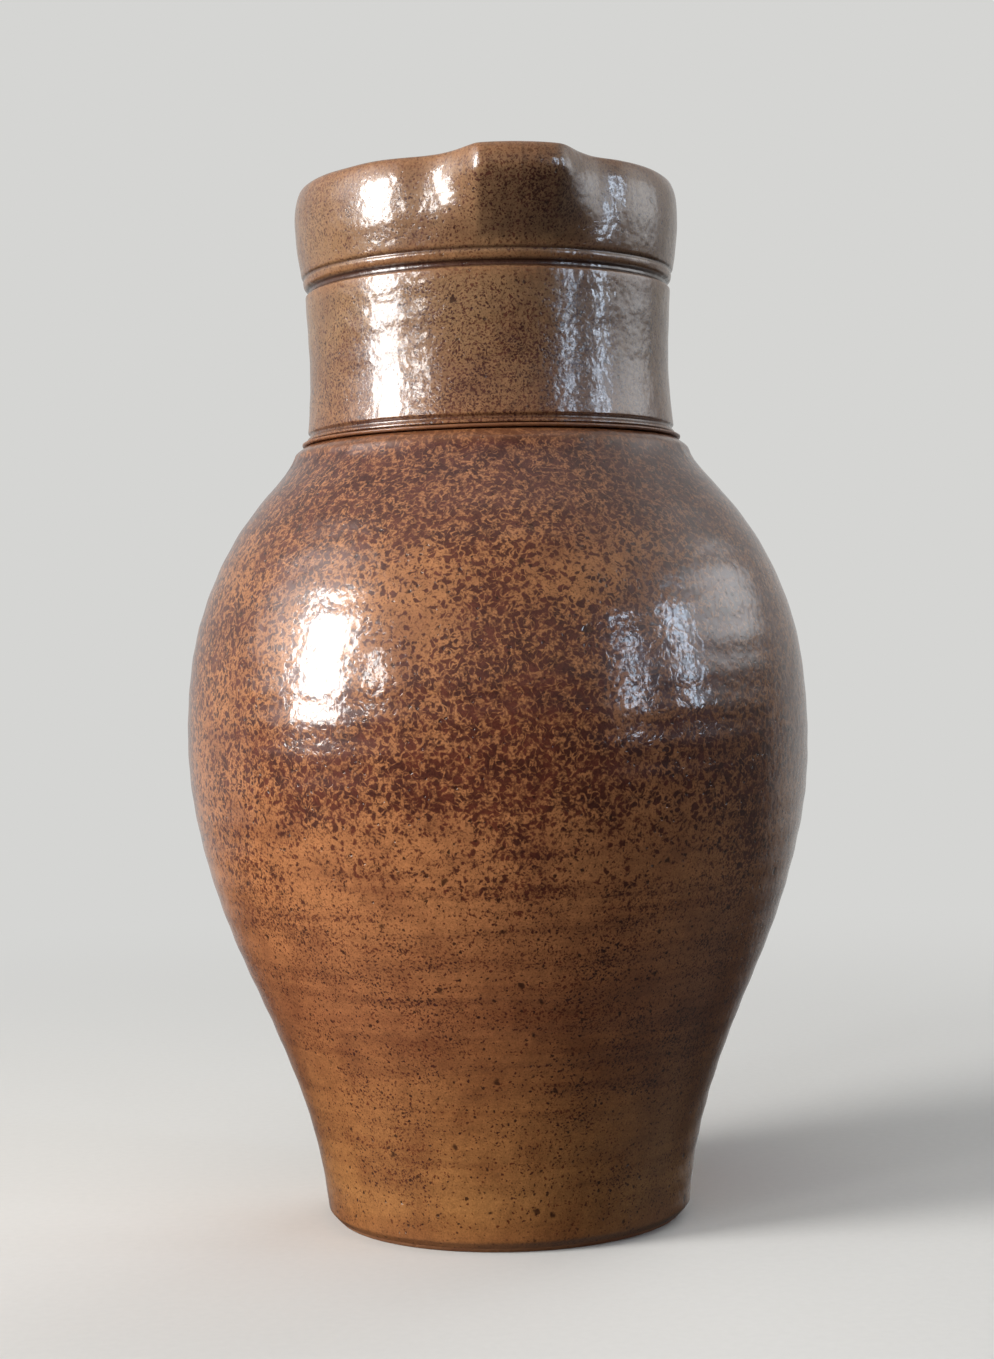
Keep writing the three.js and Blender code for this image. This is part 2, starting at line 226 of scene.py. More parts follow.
# %% Floor
FLOOR = srgb(222, 221, 218)
FLOOR_REACH = 6
FLOOR_SIDES = 96
FLOOR_FADE = (0.15, 0.75)
FLOOR_GRAIN_PER_METRE = 400
FLOOR_GRAIN = 0.06


def floor_finish():
    material = bpy.data.materials.new("pale_floor")
    graph = fresh_nodes(material)
    place = put(graph, "TexCoord").outputs["Object"]
    away = put(graph, "VectorMath", {"operation": "LENGTH"}, Vector=place).outputs["Value"]
    grain = put(graph, "TexNoise", Vector=place, Scale=FLOOR_GRAIN_PER_METRE, Detail=3).outputs["Fac"]
    tone = sums(graph, "MULTIPLY_ADD", grain, FLOOR_GRAIN, 1 - FLOOR_GRAIN / 2)
    shade = put(graph, "VectorMath", {"operation": "SCALE"}, Vector=FLOOR[:3], Scale=tone)
    matt = put(graph, "BsdfDiffuse", Color=shade.outputs[0])
    glow = put(graph, "Emission", Color=BACKDROP, Strength=1)
    fade = ramp(graph, away, FLOOR_FADE, 0, 1)
    seen = put(graph, "LightPath").outputs["Is Camera Ray"]
    choice = put(graph, "MixShader", Fac=product(graph, fade, seen))
    graph.links.new(matt.outputs[0], choice.inputs[1])
    graph.links.new(glow.outputs[0], choice.inputs[2])
    put(graph, "OutputMaterial", Surface=choice.outputs[0])
    return material


def make_floor():
    turns = np.linspace(0, 2 * math.pi, FLOOR_SIDES, endpoint=False)
    edge = np.stack([FLOOR_REACH * np.cos(turns), FLOOR_REACH * np.sin(turns), 0 * turns], 1)
    mesh = bpy.data.meshes.new("floor")
    mesh.from_pydata(edge.tolist(), [], [list(range(FLOOR_SIDES))])
    mesh.materials.append(floor_finish())
    floor = bpy.data.objects.new("floor", mesh)
    floor.visible_glossy = False
    floor.visible_diffuse = False
    bpy.context.scene.collection.objects.link(floor)


make_floor()
print("floor ready,", FLOOR_REACH, "m to its edge")

# %% [markdown]
# ## Window light
# The glaze shows a large white window on the left and two bluish panes on the right. A lamp's size and its
# direction set where its reflection sits on a round pot: a reflection that lies 30 degrees round the belly
# comes from a lamp 60 degrees round the room. Each softbox is placed that way, by its turn from the camera.

# %% Windows
POT_MIDDLE = Vector((0, 0, 0.15))
WARM_DAY = (1, 0.985, 0.96)
COOL_DAY = (0.66, 0.81, 1)


def softbox(name, turn, rise, away, width, height, brightness, tint):
    """A lit panel facing the pot, by its turn from the camera, its rise and its distance."""
    lamp = bpy.data.lights.new(name, "AREA")
    lamp.shape = "RECTANGLE"
    lamp.size = width
    lamp.size_y = height
    lamp.energy = brightness * math.pi * width * height
    lamp.color = tint
    panel = bpy.data.objects.new(name, lamp)
    level = away * math.cos(math.radians(rise))
    lift = POT_MIDDLE.z + away * math.sin(math.radians(rise))
    panel.location = round_the_axis(CAMERA_TURN + math.radians(turn), level, lift)
    panel.rotation_euler = (POT_MIDDLE - panel.location).to_track_quat("-Z", "Y").to_euler()
    panel.visible_camera = False
    bpy.context.scene.collection.objects.link(panel)
    print(f"{name}: {lamp.energy:.0f} W, {width} by {height} m")
    return panel


softbox("left_window", turn=-66, rise=17, away=1.6, width=0.55, height=0.78, brightness=25, tint=WARM_DAY)
softbox("left_side_pane", turn=-43, rise=14, away=1.7, width=0.15, height=0.3, brightness=24, tint=WARM_DAY)
for pane, rise in (("upper", 20), ("lower", 8)):
    near = softbox(f"right_near_{pane}_pane", turn=50, rise=rise, away=1.7, width=0.14, height=0.28,
                   brightness=14, tint=COOL_DAY)
    far = softbox(f"right_far_{pane}_pane", turn=73, rise=rise + 2, away=1.7, width=0.17, height=0.3,
                  brightness=14, tint=COOL_DAY)
    near.visible_diffuse = far.visible_diffuse = pane == "upper"

# %% [markdown]
# ## Curtains and room light
# Daylight through a curtain shows on the glaze as a haze without an edge. Two panels that fade from their
# middle to nothing do that, and light only the glaze. Three plain panels do the opposite: they stand for the
# light that a room gives back, brighten the clay from above, in front and behind, and leave no reflection.

# %% Curtains and room light
COOL_WHITE = (0.9, 0.95, 1)
WHITE = (1, 1, 1)
PANEL_MIDDLE = (0.5, 0.5, 0)
PANEL_FADE = (0.1, 0.5)


def soften(lamp):
    """Lets a panel's light fade from its middle to nothing at its edges."""
    graph = fresh_nodes(lamp)
    spot = put(graph, "NewGeometry").outputs["Parametric"]
    aside = put(graph, "VectorMath", {"operation": "DISTANCE"}, Vector=spot)
    aside.inputs[1].default_value = PANEL_MIDDLE
    glow = put(graph, "Emission", Strength=ramp(graph, aside.outputs["Value"], PANEL_FADE, 1, 0))
    put(graph, "OutputLight", Surface=glow.outputs[0])


left_curtain = softbox("left_curtain", turn=-78, rise=27, away=1.65, width=1.9, height=1.9,
                       brightness=2, tint=WARM_DAY)
right_curtain = softbox("right_curtain", turn=95, rise=21, away=0.5, width=0.55, height=0.28,
                        brightness=2.2, tint=COOL_WHITE)
for curtain in (left_curtain, right_curtain):
    curtain.visible_diffuse = False
    soften(curtain.data)
ceiling = softbox("ceiling", turn=-20, rise=78, away=1.8, width=1.3, height=1.3, brightness=1.2, tint=WHITE)
front = softbox("room_light", turn=-25, rise=20, away=1.9, width=1.3, height=1.3, brightness=1.5, tint=WHITE)
behind = softbox("room_behind", turn=145, rise=22, away=1.9, width=1.4, height=1.4, brightness=3, tint=WHITE)
for room_lamp in (ceiling, front, behind):
    room_lamp.visible_glossy = False

# %% [markdown]
# ## Reading the thrown outline
# A thrown piece is an outline turned about an axis. The outline could be drawn again by hand, but then it
# would drift from the solid. Instead it is read from the solid's own mesh: the edges that lie in the
# half-plane behind the pot, away from the spout, are the outline itself. Walking along them gives its
# points in order.

# %% Read an outline from a solid
SAME_PLACE = 2e-6


def thrown_outline(node):
    """Points (radius, height) of a turned solid, in order, from its mesh behind the axis."""
    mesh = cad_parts[node].data
    places = np.array([v.co for v in mesh.vertices])
    behind = (abs(places[:, 0]) < SAME_PLACE) & (places[:, 1] > -SAME_PLACE)
    keys = [tuple(np.round(p[1:] / SAME_PLACE).astype(int)) for p in places]
    next_to = {}
    for edge in mesh.edges:
        a, b = edge.vertices
        if behind[a] and behind[b] and keys[a] != keys[b]:
            next_to.setdefault(keys[a], set()).add(keys[b])
            next_to.setdefault(keys[b], set()).add(keys[a])
    ends = [key for key, near in next_to.items() if len(near) == 1]
    start = min(ends or next_to, key=lambda key: (key[1], -key[0]))
    path = [start]
    while True:
        ahead = [key for key in next_to[path[-1]] if key not in path[-2:]]
        ahead = [key for key in ahead if key not in path or (key == start and len(path) > 2)]
        if not ahead or ahead[0] == start:
            return np.array(path) * SAME_PLACE
        path.append(min(ahead, key=lambda key: -key[0]) if len(path) == 1 else ahead[0])


body_points = thrown_outline("body")
neck_points = thrown_outline("neck")
slip_points = thrown_outline("neck_luting")
for name, points in (("body", body_points), ("neck", neck_points), ("neck slip", slip_points)):
    print(f"{name}: {len(points)} outline points, radius to {points[:, 0].max() / MM:.1f} mm,",
          f"{points[:, 1].min() / MM:.1f} to {points[:, 1].max() / MM:.1f} mm high")

# %% [markdown]
# ## Rounding the outline
# The solid's outline is a string of short straight runs. A plain subdivision would round the scored lines
# away with the facets. So the outline is cut at its true corners, each stretch between them becomes a
# smooth Catmull-Rom curve, and then a touch of blur softens the corners as glaze does. Rows are laid close
# together where the curve turns and farther apart where it runs straight.

# %% Smooth an outline
FINE_STEP = 0.15 * MM


def turned_by(points):
    """How far the outline turns at each inner point, in degrees."""
    runs = np.diff(points, axis=0)
    headings = np.unwrap(np.arctan2(runs[:, 1], runs[:, 0]))
    return np.degrees(abs(np.diff(headings)))


def curve_through(points):
    """A dense centripetal Catmull-Rom curve through a stretch of points."""
    first = 2 * points[0] - points[1]
    last = 2 * points[-1] - points[-2]
    p = np.vstack([first, points, last])
    knots = np.concatenate([[0], np.cumsum(np.sqrt(np.linalg.norm(np.diff(p, axis=0), axis=1)))])
    dense = []
    for i in range(1, len(p) - 2):
        k0, k1, k2, k3 = knots[i - 1:i + 3]
        count = max(2, int(np.linalg.norm(p[i + 1] - p[i]) / FINE_STEP))
        t = np.linspace(k1, k2, count, endpoint=False)[:, None]
        a1 = (k1 - t) / (k1 - k0) * p[i - 1] + (t - k0) / (k1 - k0) * p[i]
        a2 = (k2 - t) / (k2 - k1) * p[i] + (t - k1) / (k2 - k1) * p[i + 1]
        a3 = (k3 - t) / (k3 - k2) * p[i + 1] + (t - k2) / (k3 - k2) * p[i + 2]
        b1 = (k2 - t) / (k2 - k0) * a1 + (t - k0) / (k2 - k0) * a2
        b2 = (k3 - t) / (k3 - k1) * a2 + (t - k1) / (k3 - k1) * a3
        dense.append((k2 - t) / (k2 - k1) * b1 + (t - k1) / (k2 - k1) * b2)
    return np.vstack(dense)


def evenly(points, step):
    """The same line with its points a fixed step apart."""
    along = np.concatenate([[0], np.cumsum(np.linalg.norm(np.diff(points, axis=0), axis=1))])
    marks = np.linspace(0, along[-1], int(along[-1] / step) + 1)
    return np.stack([np.interp(marks, along, points[:, k]) for k in (0, 1)], 1)


def blurred(points, width, closed):
    """A line of even steps with a Gaussian blur of that width along it. An open line keeps its ends."""
    reach = int(3 * width / FINE_STEP)
    weights = np.exp(-0.5 * (np.arange(-reach, reach + 1) * FINE_STEP / width) ** 2)
    weights /= weights.sum()
    if closed:
        padded = np.vstack([points[-reach:], points, points[:reach]])
    else:
        head = 2 * points[0] - points[reach:0:-1]
        tail = 2 * points[-1] - points[-2:-reach - 2:-1]
        padded = np.vstack([head, points, tail])
    return np.stack([np.convolve(padded[:, k], weights, "valid") for k in (0, 1)], 1)


def smooth_outline(points, corner, softness, closed):
    """The outline as a dense line, smooth between corners of more than that many degrees."""
    if closed:
        points = np.vstack([points, points[:1]])
    cuts = [0, *(np.nonzero(turned_by(points) > corner)[0] + 1), len(points) - 1]
    stretches = [curve_through(points[a:b + 1]) for a, b in zip(cuts, cuts[1:])]
    dense = evenly(np.vstack([*stretches, points[-1:]]), FINE_STEP)
    return blurred(dense[:-1] if closed else dense, softness, closed)


def rows_of(line, widest, turn):
    """Picks the rows of the mesh: never farther apart than widest, nor turning by more than turn degrees."""
    runs = np.diff(line, axis=0)
    headings = np.unwrap(np.arctan2(runs[:, 1], runs[:, 0]))
    bend = abs(np.gradient(headings)) / FINE_STEP
    crowd = np.maximum(1 / widest, np.convolve(bend, np.ones(5) / 5, "same") / math.radians(turn))
    total = np.concatenate([[0], np.cumsum(crowd * FINE_STEP)])
    marks = np.linspace(0, total[-1], int(total[-1]) + 2)
    return np.unique(np.interp(marks, total, np.arange(len(line))).round().astype(int))


body_line = smooth_outline(body_points, corner=33, softness=0.35 * MM, closed=False)
neck_line = smooth_outline(neck_points, corner=53, softness=0.22 * MM, closed=True)
slip_line = smooth_outline(slip_points, corner=80, softness=0.15 * MM, closed=True)
print("dense outlines:", len(body_line), len(neck_line), len(slip_line), "points")

# %% [markdown]
# ## Turning an outline into a piece
# Blender's Screw or Spin tools turn an outline as well, but then the hand's marks must be added by modifiers.
# Working the places out as arrays lets one short function turn the outline and another push every point by
# the amount that a potter's fingers would, in the same pass.

# %% Turn an outline
def add_piece(name, places, faces, node, finishes):
    """A mesh piece that stands for a solid and rides with the pitcher."""
    mesh = bpy.data.meshes.new(name)
    mesh.from_pydata(places.tolist(), [], faces)
    mesh.polygons.foreach_set("use_smooth", [True] * len(mesh.polygons))
    for finish in finishes:
        mesh.materials.append(finish)
    piece = bpy.data.objects.new(name, mesh)
    bpy.context.scene.collection.objects.link(piece)
    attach(piece, "root")
    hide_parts(node)
    print(f"{name}: {len(places)} points, {len(faces)} faces")
    return piece


def turned_faces(rows, columns, closed):
    """Quads between neighbouring rows and columns. A closed outline joins its last row to its first."""
    near = np.arange(rows if closed else rows - 1)
    far = (near + 1) % rows
    side = np.arange(columns)
    next_side = (side + 1) % columns
    corner = lambda row, column: row[:, None] * columns + column[None, :]
    quads = [corner(near, side), corner(near, next_side), corner(far, next_side), corner(far, side)]
    return np.stack(quads, -1).reshape(-1, 4).tolist()


def mark(piece, name, values):
    """Keeps a number for every point of a piece, for its glaze to read."""
    kept = piece.data.attributes.new(name, "FLOAT", "POINT")
    kept.data.foreach_set("value", np.asarray(values, np.float32).ravel())


def hollows(line, rows, width, depth):
    """How deep each row lies within hollows narrower than width: 0 level, 1 as deep as depth, -1 as proud."""
    broad = blurred(line, width, closed=False)
    along = np.gradient(broad, axis=0)
    outward = np.stack([along[:, 1], -along[:, 0]], 1) / np.linalg.norm(along, axis=1)[:, None]
    sunk = ((broad - line) * outward).sum(1)
    return np.clip(sunk[rows] / depth, -1, 1)


def smoothstep(share):
    held = np.clip(share, 0, 1)
    return held * held * (3 - 2 * held)


print("turning helpers ready")

# %% [markdown]
# ## Salt glaze, what every piece shares
# Salt vapour settles on the hot clay and melts into a thin glass. It is tan where the clay is bare of iron,
# dark red-brown where iron comes through, and its skin is pitted like orange peel. A picture could be
# wrapped on, but a recipe of noises works on every side and at every distance. All sizes in the recipe are
# real millimetres, so it looks the same on a large piece and a small one.

# %% Parts of the glaze recipe
TALLEST = solid_high.z / MM


def in_millimetres(graph):
    place = put(graph, "TexCoord").outputs["Object"]
    return put(graph, "VectorMath", {"operation": "SCALE"}, Vector=place, Scale=1 / MM).outputs[0]


def cloud(graph, place, size, detail=2.0, wander=0.0):
    """Soft noise with patches of about that size."""
    made = put(graph, "TexNoise", Vector=place, Scale=1 / size, Detail=detail, Distortion=wander)
    return made.outputs["Fac"]


def stretched(graph, place, around):
    """The same place, drawn out round the pot, for bands that the wheel leaves."""
    return put(graph, "Mapping", Vector=place, Scale=(1 / around, 1 / around, 1)).outputs[0]


def by_height(graph, height, stops):
    """A colour that changes with the height in millimetres."""
    share = sums(graph, "DIVIDE", height, TALLEST)
    made = put(graph, "ValToRGB", Fac=share)
    bands = made.color_ramp.elements
    bands.remove(bands[-1])
    while len(bands) < len(stops):
        bands.new(1)
    for band, (level, colour) in zip(bands, stops):
        band.position = level / TALLEST
        band.color = colour
    return made.outputs["Color"]


def share_by_height(graph, height, stops):
    """A share from 0 to 1 that changes with the height in millimetres."""
    return by_height(graph, height, [(level, (share, share, share, 1)) for level, share in stops])


def above(graph, value, threshold, edge):
    """0 below the threshold and 1 above it, over an edge of that softness."""
    past = sums(graph, "SUBTRACT", value, threshold)
    return sums(graph, "MULTIPLY_ADD", past, 1 / edge, 0.5, clamp=True)


def torn(graph, place, size, reach):
    """The same place, nudged to and fro, so that what is drawn there gets a ragged edge."""
    ragged = put(graph, "TexNoise", Vector=place, Scale=1 / size, Detail=1).outputs["Color"]
    nudge = put(graph, "VectorMath", {"operation": "SCALE"}, Vector=ragged, Scale=reach).outputs[0]
    moved = put(graph, "VectorMath", {"operation": "ADD"}, Vector=place)
    graph.links.new(nudge, moved.inputs[1])
    return moved.outputs[0]


DOT_EDGE = 12
DOT_TEARS = 2.4
DOT_TEAR_REACH = 0.45


def specks(graph, place, spacing, sizes, share):
    """Dots of unequal size on a share of the spots of a loose grid; sizes are shares of the spacing."""
    ragged = torn(graph, place, spacing / DOT_TEARS, DOT_TEAR_REACH * spacing)
    spots = put(graph, "TexVoronoi", Vector=ragged, Scale=1 / spacing)
    chance = put(graph, "SeparateColor", Color=spots.outputs["Color"]).outputs
    smallest, largest = sizes
    radius = sums(graph, "MULTIPLY_ADD", chance["Red"], largest - smallest, smallest)
    inside = sums(graph, "SUBTRACT", radius, spots.outputs["Distance"])
    dot = sums(graph, "MULTIPLY", inside, DOT_EDGE, clamp=True)
    chosen = sums(graph, "LESS_THAN", chance["Green"], share)
    return product(graph, dot, chosen)


def swing(graph, value, amount):
    """A noise that swings to both sides of nought by about that amount."""
    return sums(graph, "MULTIPLY_ADD", value, 2 * amount, -amount)


print("glaze parts ready, for a pot", round(TALLEST, 1), "mm tall")

# %% [markdown]
# ## Where the iron shows
# Iron breaks the glaze into dark cells with pale worms winding between them. Cells from a Voronoi texture
# look like crazy paving. Two soft noises do better: each is pale where it passes its own middle, and the
# lines of the two together wind, fork and close. A share of iron sets how much of the pale is left. It
# differs with the height, with patches and bands from the wheel, and with the clouds that are marked on
# the body and the neck.

# %% Worms
FINE_WORM = 0.8
COARSE_WORM = 1.7
WORM_SPAN = 1.15
WORM_GAIN = 1.7
WORM_LEVEL = 0.4
WORM_TEAR_SPAN = 0.7
WORM_TEAR_REACH = 0.5
CELL_SPAN = 0.95
CELL_SWING = 0.28
SECOND_NOISE_ASIDE = (31, 17, 53)


def worms(graph, place, size):
    """High in dark cells of about that size and low along the pale worms between them."""
    ragged = torn(graph, place, WORM_TEAR_SPAN * size, WORM_TEAR_REACH * size)
    aside = put(graph, "VectorMath", {"operation": "ADD"}, Vector=ragged)
    aside.inputs[1].default_value = SECOND_NOISE_ASIDE
    winding = []
    for where in (ragged, aside.outputs[0]):
        from_middle = sums(graph, "SUBTRACT", cloud(graph, where, WORM_SPAN * size, detail=0), 0.5)
        winding.append(sums(graph, "ABSOLUTE", from_middle))
    uneven = swing(graph, cloud(graph, place, CELL_SPAN * size, detail=0.5), CELL_SWING)
    level = sums(graph, "ADD", uneven, WORM_LEVEL)
    return sums(graph, "MULTIPLY_ADD", sums(graph, "MINIMUM", *winding), WORM_GAIN, level)


print("worms of", FINE_WORM, "and", COARSE_WORM, "mm ready")

# %% Iron's marks
MOST_IRON = 0.58
IRON_PATCH = 24
IRON_PATCH_SWING = 0.35
WHEEL_BAND = 3.5
WHEEL_STRETCH = 16
WHEEL_SWING = 0.5
LEVEL_WITHOUT_IRON = 0.74
LEVEL_PER_IRON = -0.46
MOTTLE_EDGE = 0.13
FRECKLE = 0.6
FRECKLE_RARER = 0.04
FRECKLE_EDGE = 0.08
DOT_CLUSTER = 7
DOT_SPACING = 1.7
DOT_SIZES = (0.06, 0.32)
BLOT_SPACING = 5
BLOT_SIZES = (0.05, 0.25)


def iron_marks(graph, place, height, cover, coarse, spotted, speckled, wheel):
    """Shares from 0 to 1: the mottle, the freckles, the black specks, and the wheel's bands."""
    patches = cloud(graph, place, IRON_PATCH, detail=3)
    bands = cloud(graph, stretched(graph, place, WHEEL_STRETCH), WHEEL_BAND, detail=3)
    banded = share_by_height(graph, height, wheel)
    amount = share_by_height(graph, height, cover)
    amount = sums(graph, "ADD", amount, swing(graph, patches, IRON_PATCH_SWING))
    amount = sums(graph, "MULTIPLY_ADD", swing(graph, bands, WHEEL_SWING), banded, amount)
    amount = sums(graph, "ADD", amount, put(graph, "Attribute", {"attribute_name": "iron"}).outputs["Fac"])
    held = sums(graph, "MINIMUM", amount, MOST_IRON)
    threshold = sums(graph, "MULTIPLY_ADD", held, LEVEL_PER_IRON, LEVEL_WITHOUT_IRON)
    fine = worms(graph, place, FINE_WORM)
    wider = sums(graph, "SUBTRACT", worms(graph, place, COARSE_WORM), fine)
    field = sums(graph, "MULTIPLY_ADD", wider, share_by_height(graph, height, coarse), fine)
    rarer = sums(graph, "ADD", threshold, FRECKLE_RARER)
    clusters = above(graph, cloud(graph, place, DOT_CLUSTER), 0.5, 0.3)
    dots = specks(graph, place, DOT_SPACING, DOT_SIZES, product(graph, clusters, speckled))
    blots = specks(graph, place, BLOT_SPACING, BLOT_SIZES, share_by_height(graph, height, spotted))
    return {
        "mottle": above(graph, field, threshold, MOTTLE_EDGE),
        "freckles": above(graph, cloud(graph, place, FRECKLE, detail=0.5), rarer, FRECKLE_EDGE),
        "black": sums(graph, "MAXIMUM", dots, blots),
        "bands": bands,
        "banded": banded,
    }


print("iron shows up to a share of", MOST_IRON)

# %% [markdown]
# ## Colour of the glaze
# The ground runs from the yellow foot to the brown shoulder. Over it lie, in this order, a warm flush, the
# wheel's bands, the mottle, freckles and black specks. Scored lines and other hollows are darkened and the
# glaze thins to tan on proud edges, as the pieces mark them; on the neck the same mark also carries painted
# shade and reflection on the spout's front face. Last, fine grit and streaks make the tone uneven.

# %% Glaze colour
# The brown of the darkened scored lines, also used as painted shade on the spout's front face
GROOVE_AND_SHADE_BROWN = srgb(58, 30, 25)
DEEP_MAROON = srgb(58, 25, 23)
SPECK_BLACK = srgb(46, 21, 14)
EDGE_TAN = srgb(150, 100, 62)
FLUSH_PATCH = 13
FLUSH_SHARE = 0.36
MAROON_PATCH = 5
BAND_SHARE = 0.5
MOTTLE_SHARE = 0.92
FRECKLE_SHARE = 0.6
SPECK_SHARE = 0.85
HOLLOW_AND_SHADE_SHARE = 0.85
EDGE_SHARE = 0.45
STREAK = 0.8
STREAK_STRETCH = 12
STREAK_SWING = 0.35
GRIT = 0.45
GRIT_GAIN = 0.9
COARSE_GRIT = 2.3
COARSE_GRIT_SWING = 0.22


def glaze_colour(graph, place, height, ground, iron, marks):
    """The glaze's colour from its ground up, as an output socket."""
    base = by_height(graph, height, ground)
    rust = by_height(graph, height, iron)
    maroon = above(graph, cloud(graph, place, MAROON_PATCH), 0.52, 0.25)
    deep = mixed(graph, maroon, rust, DEEP_MAROON)
    warm = above(graph, cloud(graph, place, FLUSH_PATCH, detail=4), 0.54, 0.22)
    tone = mixed(graph, product(graph, warm, FLUSH_SHARE), base, rust)
    lines = product(graph, above(graph, marks["bands"], 0.56, 0.16), marks["banded"], BAND_SHARE)
    tone = mixed(graph, lines, tone, rust)
    tone = mixed(graph, product(graph, marks["mottle"], MOTTLE_SHARE), tone, deep)
    tone = mixed(graph, product(graph, marks["freckles"], FRECKLE_SHARE), tone, deep)
    tone = mixed(graph, product(graph, marks["black"], SPECK_SHARE), tone, SPECK_BLACK)
    # Darker in scored lines and other hollows and tan on proud edges; on the neck this also lays painted
    # shade and reflection on the spout's front face
    sunk = put(graph, "Attribute", {"attribute_name": "hollow_and_shade"}).outputs["Fac"]
    tone = mixed(graph, sums(graph, "MULTIPLY", sunk, HOLLOW_AND_SHADE_SHARE, clamp=True), tone, GROOVE_AND_SHADE_BROWN)
    tone = mixed(graph, sums(graph, "MULTIPLY", sunk, -EDGE_SHARE, clamp=True), tone, EDGE_TAN)
    streaks = swing(graph, cloud(graph, stretched(graph, place, STREAK_STRETCH), STREAK), STREAK_SWING)
    grit = cloud(graph, place, GRIT, detail=1.5)
    grain = sums(graph, "MULTIPLY_ADD", grit, GRIT_GAIN, 1 - GRIT_GAIN / 2)
    grain = sums(graph, "ADD", grain, swing(graph, cloud(graph, place, COARSE_GRIT), COARSE_GRIT_SWING))
    grain = sums(graph, "MULTIPLY_ADD", streaks, marks["banded"], grain)
    return put(graph, "VectorMath", {"operation": "SCALE"}, Vector=tone, Scale=grain).outputs[0]


print("grooves pool to", [round(c, 3) for c in GROOVE_AND_SHADE_BROWN[:3]], "in linear light")

# %% [markdown]
# ## The glaze recipe
# One recipe serves the body, the neck and the handle, because one firing glazed them all. What differs is how
# much iron shows at each height and how the ground colour runs, so those are the recipe's arguments. The skin
# is bumped like orange peel, dented at the worms and pitted at the specks. A thin, duller coat over the clear
# gloss gives each window its haze.

# %% Salt glaze
PEEL_SIZE = 1.7
SWELL_SIZE = 5
SWELL_SHARE = 1.8
WORM_DENT = 0.012
SPECK_PIT = 0.05
DULL_PATCH = 9
DULL_SWING = 0.12
GLASS_IOR = 1.5
HAZE_WEIGHT = 0.4
HAZE_ROUGHNESS = 0.3


def salt_glaze(name, ground, iron, cover, coarse, spotted, wheel, speckled, peel, gloss):
    """A glazed finish. ground and iron are colours by height; cover to wheel are shares by height."""
    material = bpy.data.materials.new(name)
    graph = fresh_nodes(material)
    place = in_millimetres(graph)
    height = put(graph, "SeparateXYZ", Vector=place).outputs["Z"]
    marks = iron_marks(graph, place, height, cover, coarse, spotted, speckled, wheel)
    colour = glaze_colour(graph, place, height, ground, iron, marks)

    # Heights of the skin are in millimetres
    skin = product(graph, cloud(graph, place, PEEL_SIZE, detail=0.6), peel)
    skin = sums(graph, "MULTIPLY_ADD", cloud(graph, place, SWELL_SIZE, detail=1), SWELL_SHARE * peel, skin)
    skin = sums(graph, "MULTIPLY_ADD", marks["mottle"], -WORM_DENT, skin)
    skin = sums(graph, "MULTIPLY_ADD", marks["black"], -SPECK_PIT, skin)
    bump = put(graph, "Bump", Height=skin, Distance=MM)
    patchy = cloud(graph, place, DULL_PATCH, detail=3)
    dull = sums(graph, "MULTIPLY_ADD", patchy, DULL_SWING, gloss - DULL_SWING / 2)

    shader = put(graph, "BsdfPrincipled", Base_Color=colour, Roughness=dull, Normal=bump.outputs[0])
    shader.inputs["IOR"].default_value = GLASS_IOR
    shader.inputs["Coat Weight"].default_value = HAZE_WEIGHT
    shader.inputs["Coat Roughness"].default_value = HAZE_ROUGHNESS
    put(graph, "OutputMaterial", Surface=shader.outputs[0])
    return material

print("glaze recipe ready, with a haze of", HAZE_WEIGHT)

# %% [markdown]
# ## The three glazes
# The foot is yellow and specked, the lower body is streaked by the wheel, and the belly and the shoulder are
# mottled with coarse worms. The neck is paler, with fine freckles, and the handle lies between the two. Each
# stop is a height in millimetres with its colour or share, so a glaze reads from the foot upwards.

# %% Glazes of the body, the neck and the handle
body_glaze = salt_glaze(
    "body_salt_glaze",
    ground=[(0, srgb(144, 90, 51)), (12, srgb(163, 111, 64)), (40, srgb(161, 105, 62)),
            (62, srgb(157, 98, 61)), (95, srgb(178, 117, 74)), (130, srgb(165, 109, 70)),
            (165, srgb(168, 114, 73)), (206, srgb(158, 105, 71))],
    iron=[(0, srgb(96, 46, 24)), (60, srgb(94, 45, 28)), (120, srgb(86, 39, 30)), (206, srgb(82, 42, 35))],
    cover=[(0, 0.1), (36, 0.17), (62, 0.25), (84, 0.3), (108, 0.38), (128, 0.48), (152, 0.5), (175, 0.46),
           (190, 0.66)],
    coarse=[(72, 0.1), (126, 1)],
    spotted=[(0, 0.35), (70, 0.4), (110, 0.12), (155, 0.06), (172, 0.4), (184, 0.1)],
    wheel=[(0, 0.2), (40, 0.5), (95, 0.5), (125, 0.1)],
    speckled=0.9, peel=0.09, gloss=0.12)
neck_glaze = salt_glaze(
    "neck_salt_glaze",
    ground=[(206, srgb(142, 98, 66)), (240, srgb(141, 107, 75)), (280, srgb(140, 106, 77))],
    iron=[(206, srgb(84, 42, 30)), (280, srgb(88, 50, 40))],
    cover=[(206, 0.5), (214, 0.34), (245, 0.22), (280, 0.28)],
    coarse=[(206, 0.4), (216, 0)],
    spotted=[(206, 0.05)],
    wheel=[(206, 0.1)],
    speckled=0.5, peel=0.13, gloss=0.13)
handle_glaze = salt_glaze(
    "handle_salt_glaze",
    ground=[(150, srgb(150, 95, 57)), (250, srgb(146, 97, 62))],
    iron=[(150, srgb(86, 38, 27)), (250, srgb(82, 40, 30))],
    cover=[(150, 0.44), (250, 0.5)],
    coarse=[(150, 0.7)],
    spotted=[(150, 0.1)],
    wheel=[(150, 0)],
    speckled=0.45, peel=0.1, gloss=0.12)
print("glazes:", body_glaze.name, neck_glaze.name, handle_glaze.name)

